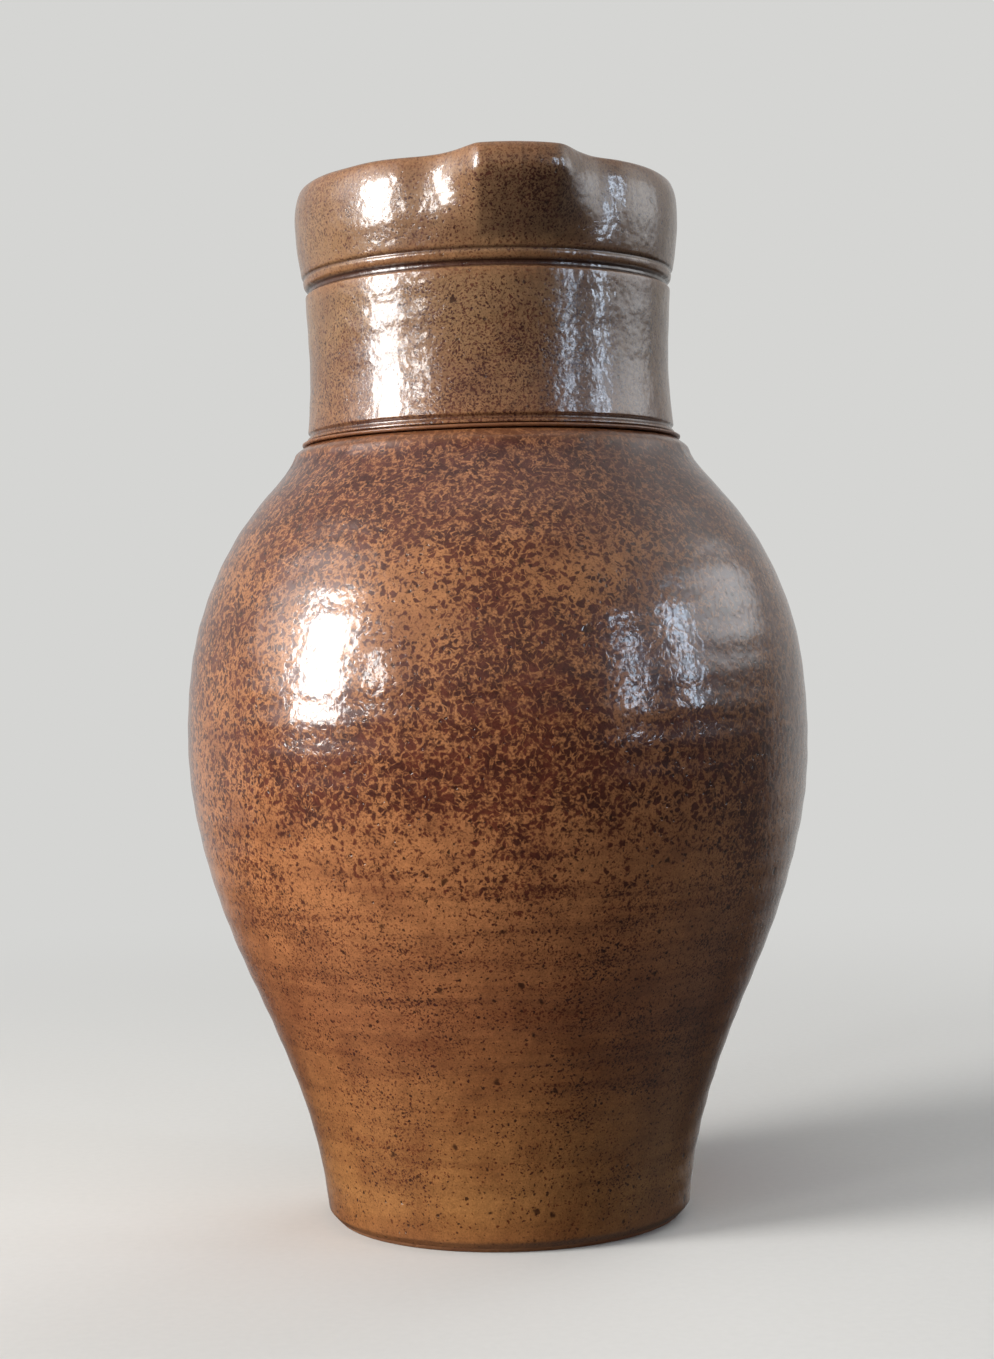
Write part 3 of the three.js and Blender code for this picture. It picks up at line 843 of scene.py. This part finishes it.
# %% [markdown]
# ## Slip, lining and bare foot
# Three quieter finishes are left. The slip that squeezed out of the joints fired darker than the pot. The
# inside is washed with a plain brown glaze before firing, since little salt reaches it. The underside stays
# bare: it is dry, toasted clay with grit in it. One short recipe with two tones and grit makes all three.

# %% Slip, lining and foot
GRIT_BLACK = srgb(40, 24, 18)
GRIT_SIZES = (0.05, 0.24)
GRIT_FILLED = 0.5
GRIT_SHARE = 0.6


def plain_finish(name, light, dark, patch, roughness, grain, relief):
    """A finish of two tones in patches, with grit and a grainy relief; sizes are in millimetres."""
    material = bpy.data.materials.new(name)
    graph = fresh_nodes(material)
    place = in_millimetres(graph)
    patches = above(graph, cloud(graph, place, patch, detail=4), 0.5, 0.35)
    grit = specks(graph, place, grain, GRIT_SIZES, GRIT_FILLED)
    tone = mixed(graph, patches, light, dark)
    colour = mixed(graph, product(graph, grit, GRIT_SHARE), tone, GRIT_BLACK)
    rough = sums(graph, "MULTIPLY_ADD", patches, DULL_SWING, roughness - DULL_SWING / 2)
    skin = product(graph, cloud(graph, place, grain), relief)
    bump = put(graph, "Bump", Height=skin, Distance=MM)
    shader = put(graph, "BsdfPrincipled", Base_Color=colour, Roughness=rough, Normal=bump.outputs[0])
    put(graph, "OutputMaterial", Surface=shader.outputs[0])
    return material


slip_finish = plain_finish("fired_slip", light=srgb(142, 95, 63), dark=srgb(116, 73, 49),
                           patch=3, roughness=0.3, grain=1.4, relief=0.12)
lining_finish = plain_finish("brown_lining", light=srgb(128, 84, 54), dark=srgb(92, 54, 36),
                             patch=26, roughness=0.22, grain=1.6, relief=0.12)
foot_finish = plain_finish("bare_foot", light=srgb(176, 120, 80), dark=srgb(146, 88, 54),
                           patch=18, roughness=0.85, grain=1.2, relief=0.2)
print("plain finishes:", slip_finish.name, lining_finish.name, foot_finish.name)

# %% [markdown]
# ## Marks of the hand
# Turned exactly, a thrown piece would look cast. A potter's fingers leave a faint spiral, the clay sags a
# little out of round, and knocks leave shallow dents. Sculpting could add them by hand, but then they would
# be lost whenever the outline changes. Here each is a small formula or a seeded noise that pushes every
# point.

# %% Hand marks
SPIRAL_PITCH = 8.5 * MM
SPIRAL_DEPTH = 0.11 * MM
SPIRAL_LEAST = 0.7
SPIRAL_VARIES = 0.6
OUT_OF_ROUND = 0.25 * MM
OVAL_TURN = 0.7
OVAL_TWIST = 90 * MM
DENT_DEPTH = 0.3 * MM
DENT_SIZE = 26 * MM


def turned_places(radius, angle, height):
    return np.stack([radius * np.sin(angle), -radius * np.cos(angle), height], -1).reshape(-1, 3)


def lumps(places, size, seed):
    """Smooth noise from -1 to 1 at each place, with lumps of about that size."""
    return np.array([noise.noise(Vector(place) / size + Vector((seed, 0, 0))) for place in places])


def hand_marks(radius, angle, height, strength):
    """How far the thrown wall stands out of true at each point."""
    spiral = SPIRAL_DEPTH * np.sin(2 * math.pi * height / SPIRAL_PITCH - angle)
    oval = OUT_OF_ROUND * np.cos(2 * angle + OVAL_TURN + height / OVAL_TWIST)
    places = turned_places(radius, angle, height)
    dents = lumps(places, DENT_SIZE, seed=3.7).reshape(radius.shape)
    varies = lumps(places, 2 * DENT_SIZE, seed=9.1).reshape(radius.shape)
    return strength * (spiral * (SPIRAL_LEAST + SPIRAL_VARIES * varies) + oval + DENT_DEPTH * dents)


print("the spiral is", round(SPIRAL_DEPTH / MM, 2), "mm deep, the dents", round(DENT_DEPTH / MM, 2), "mm")

# %% [markdown]
# ## Clouds of iron
# The draught in the kiln brings more iron out of the clay in some places and keeps it in elsewhere, so the
# mottle gathers in clouds. A large noise would put them anywhere. These are placed where the pot has them,
# and each fades out softly from its middle.

# %% Iron clouds
# Each cloud: its turn in degrees, its height, half-width and half-height in millimetres, and its strength
IRON_CLOUDS = (
    (-3, 140, 17, 24, 0.24), (-21, 160, 12, 15, -0.22), (7, 174, 14, 7, -0.22), (-36, 124, 22, 9, 0.14),
    (34, 150, 20, 30, 0.1), (95, 120, 30, 35, 0.16), (165, 150, 40, 25, -0.15), (-110, 140, 35, 30, 0.15),
    (-9, 238, 12, 20, 0.16), (-50, 234, 9, 22, 0.14), (2, 268, 9, 8, 0.1), (120, 240, 25, 18, 0.14),
)


def iron_clouds(radius, angle, height):
    """How much more or less iron each point shows."""
    total = 0 * angle
    for turn, level, half_wide, half_tall, strength in IRON_CLOUDS:
        aside = (angle - math.radians(turn) + math.pi) % (2 * math.pi) - math.pi
        far = (aside * radius / (half_wide * MM)) ** 2 + ((height - level * MM) / (half_tall * MM)) ** 2
        total = total + strength * np.exp(-far)
    return total


print(len(IRON_CLOUDS), "iron clouds")

# %% [markdown]
# ## The thrown body
# The body rises in one pull from a turned foot to a full belly and a sloping shoulder, and ends in the ledge
# that the neck sits behind. The outline is turned with the hand's marks on its outside, which fade out at the
# foot and the ledge so that both stay true. The ledge's thin edge is chipped. The inside is lined, and the
# ring that the pot stands on is bare clay.

# %% Body
BODY_COLUMNS = 224
BODY_ROW = 2 * MM
FOOT_KEPT_TRUE = 1 * MM
MARKS_FADE = 9 * MM
LEDGE_BELOW_SPIGOT = 8 * MM
LEDGE_CHIPS = 0.45 * MM
CHIP_SIZE = 3 * MM
CHIPS_REACH = 3 * MM
CHIP_PROUDEST = 0.15
BODY_LINE_WIDTH = 2.5 * MM
BODY_LINE_DEPTH = 0.7 * MM
STANDING_RING = 0.4 * MM


def chipped(radius, angle, height, outside, ledge):
    """How far chips take the ledge's edge back, or leave it a little proud."""
    chips = lumps(turned_places(radius, angle, height), CHIP_SIZE, seed=12.3).reshape(radius.shape)
    at_ledge = outside * np.exp(-((height - ledge) / CHIPS_REACH) ** 2)
    return LEDGE_CHIPS * at_ledge * np.minimum(chips, CHIP_PROUDEST)


def make_body():
    rows = rows_of(body_line, widest=BODY_ROW, turn=10)[1:-1]
    line = body_line[rows]
    top = line[:, 1].argmax()
    angle = np.linspace(0, 2 * math.pi, BODY_COLUMNS, endpoint=False)[None, :] + 0 * line[:, :1]
    radius = line[:, :1] + 0 * angle
    height = line[:, 1:] + 0 * angle
    outside = np.arange(len(rows))[:, None] < top
    ledge = body_line[:, 1].max() - LEDGE_BELOW_SPIGOT
    strength = outside * smoothstep((height - FOOT_KEPT_TRUE) / MARKS_FADE)
    strength = strength * smoothstep((ledge - height) / MARKS_FADE)
    radius = radius + hand_marks(radius, angle, height, strength)
    radius = radius + chipped(radius, angle, height, outside, ledge)
    places = turned_places(radius, angle, height)
    faces = turned_faces(len(rows), BODY_COLUMNS, closed=False)

    # A fan of triangles closes the underside and another the floor inside
    under, floor = len(places), len(places) + 1
    places = np.vstack([places, [[0, 0, body_line[0, 1]], [0, 0, body_line[-1, 1]]]])
    last = (len(rows) - 1) * BODY_COLUMNS
    for side in range(BODY_COLUMNS):
        ahead = (side + 1) % BODY_COLUMNS
        faces.append([under, ahead, side])
        faces.append([floor, last + side, last + ahead])
    finishes = [body_glaze, foot_finish, lining_finish]
    body = add_piece("thrown_body", places, faces, "body", finishes)
    sunk = np.repeat(hollows(body_line, rows, BODY_LINE_WIDTH, BODY_LINE_DEPTH), BODY_COLUMNS)
    mark(body, "hollow_and_shade", np.concatenate([sunk, [0, 0]]))
    mark(body, "iron", np.concatenate([iron_clouds(radius, angle, height).ravel(), [0, 0]]))

    # Finishes by row: 0 glazed, 1 bare foot, 2 lining
    standing = int((line[:top, 1] < STANDING_RING).sum())
    row_finish = np.zeros(len(rows) - 1, int)
    row_finish[:standing] = 1
    row_finish[top:] = 2
    fans = np.tile([1, 2], BODY_COLUMNS)
    face_finish = np.concatenate([np.repeat(row_finish, BODY_COLUMNS), fans])
    body.data.polygons.foreach_set("material_index", face_finish)


make_body()

# %% [markdown]
# ## The pulled spout
# While the clay is soft, two fingers hold the rim and a third draws it out between them, which makes the flat
# front, its two flanks and the hollows beside them. A lattice or a sculpting brush could bend the rim, but
# a formula keeps the sizes in sight: how wide the front is, how long the flanks and how sharp the creases.
# The left flank meets the front in a sharper crease than the right one.

# %% Spout
LEFT_FRONT = 10.6 * MM
RIGHT_FRONT = 9.6 * MM
LEFT_FLANK = 12 * MM
RIGHT_FLANK = 14 * MM
LEFT_CREASE = 1.2 * MM
RIGHT_CREASE = 2 * MM
SPOUT_REACH = 9.8 * MM
SPOUT_DROP = 22.5 * MM
SPOUT_LIP = 6.5 * MM
SPOUT_LIFT = 0.5 * MM
PINCH_DEPTH = 0.7 * MM
PINCH_WIDTH = 15 * MM
PINCH_STARTS = 0.6

# The front face, darkened with painted shade and reflection: the softness of its sides, and shares of the
# spout's climb for its ends
FACE_SIDES = 0.7 * MM
FACE_EDGE = 0.04
FACE_STARTS_OVER = 0.08
FACE_ENDS_AT = 0.9
FACE_ENDS_OVER = 0.15
LIP_ROUNDING = 0.12
rim_height = neck_line[:, 1].max()
rim_radius = neck_line[:, 0].max()


def spout_pull(angle, height):
    """How far the spout carries the wall outwards and upwards, and where painted shade and reflection darken
    its front face.
    """
    past_front = abs(angle) * rim_radius - np.where(angle < 0, LEFT_FRONT, RIGHT_FRONT)
    crease = np.where(angle < 0, LEFT_CREASE, RIGHT_CREASE)
    flank = np.where(angle < 0, LEFT_FLANK, RIGHT_FLANK)
    eased = (past_front + np.sqrt(past_front ** 2 + crease ** 2)) / 2
    front = (1 - np.clip(eased / flank, 0, 1)) ** 2
    pinched = np.clip((past_front - PINCH_STARTS * flank) / PINCH_WIDTH, 0, 1)
    pinch = PINCH_DEPTH * np.sin(math.pi * pinched) ** 2
    climb = (height - rim_height + SPOUT_DROP) / (SPOUT_DROP - SPOUT_LIP)
    begun = (climb + np.sqrt(climb ** 2 + FACE_EDGE ** 2)) / 2
    rise = (begun + 1 - np.sqrt((begun - 1) ** 2 + LIP_ROUNDING ** 2)) / 2
    face = 1 - smoothstep((past_front + FACE_SIDES) / (2 * FACE_SIDES))
    face = face * smoothstep(climb / FACE_STARTS_OVER)
    face = face * (1 - smoothstep((climb - FACE_ENDS_AT) / FACE_ENDS_OVER))
    return (SPOUT_REACH * front - pinch) * rise, SPOUT_LIFT * front * rise, face


print(f"spout: {(LEFT_FRONT + RIGHT_FRONT) / MM:.1f} mm wide in front, {SPOUT_REACH / MM:.1f} mm pulled out")

# %% [markdown]
# ## The neck
# The neck is a waisted collar with a scored groove, a fine line above it and a band that swells to the rim.
# It is turned like the body, with its columns crowded to the front, where the spout needs a fine mesh. The
# rim was trimmed by hand, so it rises and falls by a few tenths of a millimetre.

# %% Neck
NECK_COLUMNS = 288
NECK_ROW = 1.3 * MM
FRONT_CROWDING = 0.42
NECK_MARKS = 0.5
NECK_FOOT_KEPT_TRUE = 4 * MM
NECK_MARKS_FADE = 8 * MM
RIM_WAVE = 0.35 * MM
RIM_WAVE_LENGTH = 17 * MM
RIM_WAVE_REACH = 12 * MM
NECK_LINE_WIDTH = 2.2 * MM
NECK_LINE_DEPTH = 0.4 * MM
FOOT_LINES_SHARE = 0.4
FOOT_LINES_FROM = 3 * MM
# How much painted shade and reflection darken the spout's front face
FACE_PAINTED_SHADE = 0.35
LINING_STARTS = 9 * MM


def rim_wave(angle, height):
    """How far the hand-trimmed rim rises or falls, fading out below it."""
    ring = turned_places(rim_radius + 0 * angle, angle, 0 * height)
    wave = RIM_WAVE * lumps(ring, RIM_WAVE_LENGTH, seed=4.4).reshape(angle.shape)
    return wave * smoothstep((height - rim_height + RIM_WAVE_REACH) / RIM_WAVE_REACH)


def make_neck():
    closed_line = np.vstack([neck_line, neck_line[:1]])
    rows = rows_of(closed_line, widest=NECK_ROW, turn=11)[:-1]
    line = neck_line[rows]
    even = np.linspace(-math.pi, math.pi, NECK_COLUMNS, endpoint=False)
    crowded = even * (FRONT_CROWDING + (1 - FRONT_CROWDING) * (even / math.pi) ** 2)
    angle = crowded[None, :] + 0 * line[:, :1]
    radius = line[:, :1] + 0 * angle
    height = line[:, 1:] + 0 * angle
    foot = line[:, 1].min()
    strength = NECK_MARKS * smoothstep((height - foot - NECK_FOOT_KEPT_TRUE) / NECK_MARKS_FADE)
    marks = hand_marks(np.full_like(radius, rim_radius), angle, height, strength)
    out, up, face = spout_pull(angle, height)
    places = turned_places(radius + marks + out, angle, height + up + rim_wave(angle, height))
    faces = turned_faces(len(rows), NECK_COLUMNS, closed=True)
    neck = add_piece("thrown_neck", places, faces, "neck", [neck_glaze, lining_finish])
    outside = np.arange(len(rows)) < line[:, 1].argmax()
    above_foot = smoothstep((line[:, 1] - foot - FOOT_LINES_FROM) / NECK_MARKS_FADE)
    settled = FOOT_LINES_SHARE + (1 - FOOT_LINES_SHARE) * above_foot
    sunk = hollows(closed_line, rows, NECK_LINE_WIDTH, NECK_LINE_DEPTH) * settled * outside
    mark(neck, "iron", iron_clouds(radius, angle, height))
    # The spout's front face gets painted shade and reflection here, in the same mark as the scored lines
    mark(neck, "hollow_and_shade", sunk[:, None] + FACE_PAINTED_SHADE * face * outside[:, None])
    lined = ~outside & (line[:, 1] < rim_height - LINING_STARTS)
    neck.data.polygons.foreach_set("material_index", np.repeat(lined.astype(int), NECK_COLUMNS))


make_neck()

# %% [markdown]
# ## The bead of slip under the neck
# Pressing the neck onto its seat squeezes a little slip out all round, which the potter only half wipes away.
# It shows as the thin cordon at the foot of the neck. A torus would be too even, so it is turned like the
# neck, with a lumpy edge.

# %% Neck slip
SLIP_COLUMNS = 224
SLIP_ROW = 0.7 * MM
BEAD_UNEVEN = 0.25 * MM
BEAD_LUMP = 7 * MM


def make_neck_slip():
    rows = rows_of(np.vstack([slip_line, slip_line[:1]]), widest=SLIP_ROW, turn=22)[:-1]
    line = slip_line[rows]
    angle = np.linspace(0, 2 * math.pi, SLIP_COLUMNS, endpoint=False)[None, :] + 0 * line[:, :1]
    radius = line[:, :1] + 0 * angle
    height = line[:, 1:] + 0 * angle
    inner = line[:, 0].min()
    proud = smoothstep((radius - inner) / (line[:, 0].max() - inner))
    edge = turned_places(radius, angle, height)
    uneven = lumps(edge, BEAD_LUMP, seed=5.2).reshape(radius.shape)
    places = turned_places(radius + BEAD_UNEVEN * proud * uneven, angle, height)
    faces = turned_faces(len(rows), SLIP_COLUMNS, closed=True)
    add_piece("neck_slip_bead", places, faces, "neck_luting", [slip_finish])


make_neck_slip()

# %% [markdown]
# ## The pulled handle
# A handle is pulled from a carrot of wet clay: the hand strokes it down to a tapering strap, and the thumb
# leaves a channel along its outer face. It is bent into an arch and pressed to the neck and to the shoulder.
# A curve with a bevel would give an even strip, so the strap is lofted instead: a rounded oblong section that
# shrinks along the arch, and whose lines each run on until they meet the pot's wall.

# %% Handle's arch
HANDLE_TOP_HEIGHT = 238 * MM
HANDLE_TOP_LIFT = math.radians(20)
HANDLE_TOP_PULL = 70 * MM
HANDLE_TAIL_HEIGHT = 160.5 * MM
HANDLE_TAIL_LIFT = math.radians(30)
HANDLE_TAIL_PULL = 50 * MM
ARCH_SAMPLES = 400

body_wall = body_line[:body_line[:, 1].argmax()]
neck_wall = neck_line[:neck_line[:, 1].argmax()]
wall_line = np.vstack([body_wall[body_wall[:, 1] < neck_wall[0, 1]], neck_wall])
wall_line = wall_line[np.argsort(wall_line[:, 1], kind="stable")]


def wall_radius(height):
    """The radius of the pot's outside at a height."""
    return np.interp(height, wall_line[:, 1], wall_line[:, 0])


def handle_arch():
    """Points along the arch, their headings and their distances from the neck's wall."""
    away = lambda lift: np.array([0, math.cos(lift), math.sin(lift)])
    top = np.array([0, wall_radius(HANDLE_TOP_HEIGHT), HANDLE_TOP_HEIGHT])
    tail = np.array([0, wall_radius(HANDLE_TAIL_HEIGHT), HANDLE_TAIL_HEIGHT])
    over = top + HANDLE_TOP_PULL * away(HANDLE_TOP_LIFT)
    back = tail + HANDLE_TAIL_PULL * away(HANDLE_TAIL_LIFT)
    t = np.linspace(0, 1, ARCH_SAMPLES)[:, None]
    points = (1 - t) ** 3 * top + 3 * t * (1 - t) ** 2 * over + 3 * t ** 2 * (1 - t) * back + t ** 3 * tail
    headings = np.gradient(points, axis=0)
    headings /= np.linalg.norm(headings, axis=1)[:, None]
    along = np.concatenate([[0], np.cumsum(np.linalg.norm(np.diff(points, axis=0), axis=1))])
    return points, headings, along


arch_points, arch_headings, arch_along = handle_arch()
arch_length = arch_along[-1]
print(f"the handle's arch is {arch_length / MM:.0f} mm long")

# %% Handle's strap
HANDLE_SIDES = 84
HANDLE_STEPS = 150
STRAP_TOP = (34 * MM, 12.5 * MM)
STRAP_TAIL = (26 * MM, 9.5 * MM)
STRAP_SQUARENESS = 2.7
ROOT_FLARE = 6 * MM
ROOT_RUN = 16 * MM
CHANNEL_DEPTH = 1.7 * MM
CHANNEL_WIDTH = 13 * MM
FINGER_LINE_DEPTH = 0.35 * MM
FINGER_LINE_ASIDE = 0.62
FINGER_LINE_WIDTH = 0.09


def strap_places(distance, turn, margin=0.0):
    """Places on the strap by their distance along the arch and their turn round its section."""
    held = np.clip(distance, 0, arch_length)
    share = held / arch_length
    spot = np.stack([np.interp(held, arch_along, arch_points[:, k]) for k in range(3)], -1)
    heading = np.stack([np.interp(held, arch_along, arch_headings[:, k]) for k in range(3)], -1)
    spot = spot + heading * (distance - held)[..., None]
    to_wall = np.minimum(held, arch_length - held)
    flare = ROOT_FLARE / 2 * np.clip(1 - to_wall / ROOT_RUN, 0, 1) ** 2 + margin
    half_wide = STRAP_TOP[0] / 2 + (STRAP_TAIL[0] - STRAP_TOP[0]) / 2 * share + flare
    half_thick = STRAP_TOP[1] / 2 + (STRAP_TAIL[1] - STRAP_TOP[1]) / 2 * share + flare
    squared = lambda c: np.sign(c) * abs(c) ** (2 / STRAP_SQUARENESS)
    across = half_wide * squared(np.cos(turn))
    upward = half_thick * squared(np.sin(turn))
    outer = np.sin(turn) > 0
    channel = CHANNEL_DEPTH * np.exp(-(2 * across / CHANNEL_WIDTH) ** 2)
    aside = (abs(across) / half_wide - FINGER_LINE_ASIDE) / FINGER_LINE_WIDTH
    upward = upward - np.where(outer, channel + FINGER_LINE_DEPTH * np.exp(-aside ** 2), 0)
    outward = np.stack([0 * share, -heading[..., 2], heading[..., 1]], -1)
    return spot + across[..., None] * np.array([1, 0, 0]) + upward[..., None] * outward


HALVINGS = 40


def meets_wall(turn, near, far, depth, margin=0.0):
    """Where each line of the strap reaches that depth under the wall, by halving between two distances."""
    outer = np.full_like(turn, near)
    inner = np.full_like(turn, far)
    for _ in range(HALVINGS):
        middle = (outer + inner) / 2
        place = strap_places(middle, turn, margin)
        clear = np.hypot(place[..., 0], place[..., 1]) > wall_radius(place[..., 2]) - depth
        outer = np.where(clear, middle, outer)
        inner = np.where(clear, inner, middle)
    return (outer + inner) / 2


STRAP_TURNS = np.linspace(0, 2 * math.pi, HANDLE_SIDES, endpoint=False)
ROOT_REACH = 14 * MM
ROOT_SUNK = 1 * MM
strap_from = meets_wall(STRAP_TURNS, ROOT_REACH, -ROOT_REACH, ROOT_SUNK)
strap_to = meets_wall(STRAP_TURNS, arch_length - ROOT_REACH, arch_length + ROOT_REACH, ROOT_SUNK)
print(f"the strap meets the neck {strap_from.min() / MM:.1f} to {strap_from.max() / MM:.1f} mm along")

# %% Handle piece
STRAP_WAVE = 0.3 * MM
STRAP_WAVE_LENGTH = 16 * MM
STRAP_RIPPLE = 0.12 * MM
STRAP_RIPPLE_LENGTH = 6 * MM
STRAP_CORE = -4 * MM
CHANNEL_DARKENED = 0.25
OUTER_FACE = 0.2


def make_handle():
    share = np.linspace(0, 1, HANDLE_STEPS)[:, None]
    distance = strap_from + (strap_to - strap_from) * share
    turn = STRAP_TURNS + 0 * distance
    places = strap_places(distance, turn).reshape(-1, 3)
    wave = STRAP_WAVE * lumps(places, STRAP_WAVE_LENGTH, seed=2.4)
    wave = wave + STRAP_RIPPLE * lumps(places, STRAP_RIPPLE_LENGTH, seed=6.6)
    middle = strap_places(distance, turn, margin=STRAP_CORE).reshape(-1, 3)
    outward = places - middle
    outward /= np.linalg.norm(outward, axis=1)[:, None]
    places = places + wave[:, None] * outward
    faces = [face[::-1] for face in turned_faces(HANDLE_STEPS, HANDLE_SIDES, closed=False)]
    last = (HANDLE_STEPS - 1) * HANDLE_SIDES
    faces.append(list(range(HANDLE_SIDES)))
    faces.append([last + side for side in range(HANDLE_SIDES)][::-1])
    handle = add_piece("pulled_handle", places, faces, "handle", [handle_glaze])
    channel = np.exp(-(2 * places[:, 0] / CHANNEL_WIDTH) ** 2) * (np.sin(turn).ravel() > OUTER_FACE)
    mark(handle, "hollow_and_shade", CHANNEL_DARKENED * channel)


make_handle()

# %% [markdown]
# ## Slip round the handle's roots
# Where the strap meets the pot, the potter works a coil of soft slip into the corner and wipes it to a
# smooth fillet with a finger. A thin pad between the two would look like glue. Each fillet is a ring that
# follows the strap's own section: it climbs the strap on one side, feathers out on the wall on the other,
# and closes out of sight below. The same glaze covers it as the handle.

# %% Luting fillets
FILLET_CLIMB = 6 * MM
FILLET_SPREAD = 5.5 * MM
FILLET_STEPS = 9
FILLET_SUNK = 0.9 * MM
FEATHERED = 0.15 * MM
WIPED_ON = 0.1 * MM
WOBBLE = 0.3
WOBBLE_LENGTH = 0.7


def make_fillet(name, node, start, sign, seed):
    """A wiped ring of slip. start is where the strap's lines meet the wall, sign the way along the arch."""
    circle = np.stack([np.cos(STRAP_TURNS), np.sin(STRAP_TURNS), 0 * STRAP_TURNS], 1)
    wobble = lumps(circle, WOBBLE_LENGTH, seed)
    climb = FILLET_CLIMB * (1 + WOBBLE * wobble)
    spread = FILLET_SPREAD * (1 - WOBBLE * wobble)
    high = strap_places(start + sign * climb, STRAP_TURNS, WIPED_ON)
    end = arch_length if sign < 0 else 0
    far = end - sign * ROOT_REACH
    corner = strap_places(meets_wall(STRAP_TURNS, end + sign * ROOT_REACH, far, 0), STRAP_TURNS)
    wall = meets_wall(STRAP_TURNS, end + sign * ROOT_REACH, far, FEATHERED, spread)
    low = strap_places(wall, STRAP_TURNS, spread)
    t = np.linspace(0, 1, FILLET_STEPS)[:, None, None]
    curve = (1 - t) ** 2 * high + 2 * t * (1 - t) * corner + t ** 2 * low
    deep_wall = meets_wall(STRAP_TURNS, end + sign * ROOT_REACH, far, FILLET_SUNK, spread)
    hidden = np.stack([
        strap_places(deep_wall, STRAP_TURNS, spread),
        strap_places(start, STRAP_TURNS, -FILLET_SUNK),
        strap_places(start + sign * climb, STRAP_TURNS, -FILLET_SUNK),
    ])
    places = np.vstack([curve, hidden]).reshape(-1, 3)
    faces = turned_faces(FILLET_STEPS + len(hidden), HANDLE_SIDES, closed=True)
    if sign < 0:
        faces = [face[::-1] for face in faces]
    add_piece(name, places, faces, node, [handle_glaze])


make_fillet("upper_slip_fillet", "handle_upper_luting", strap_from, 1, 1.3)
make_fillet("lower_slip_fillet", "handle_lower_luting", strap_to, -1, 8.2)
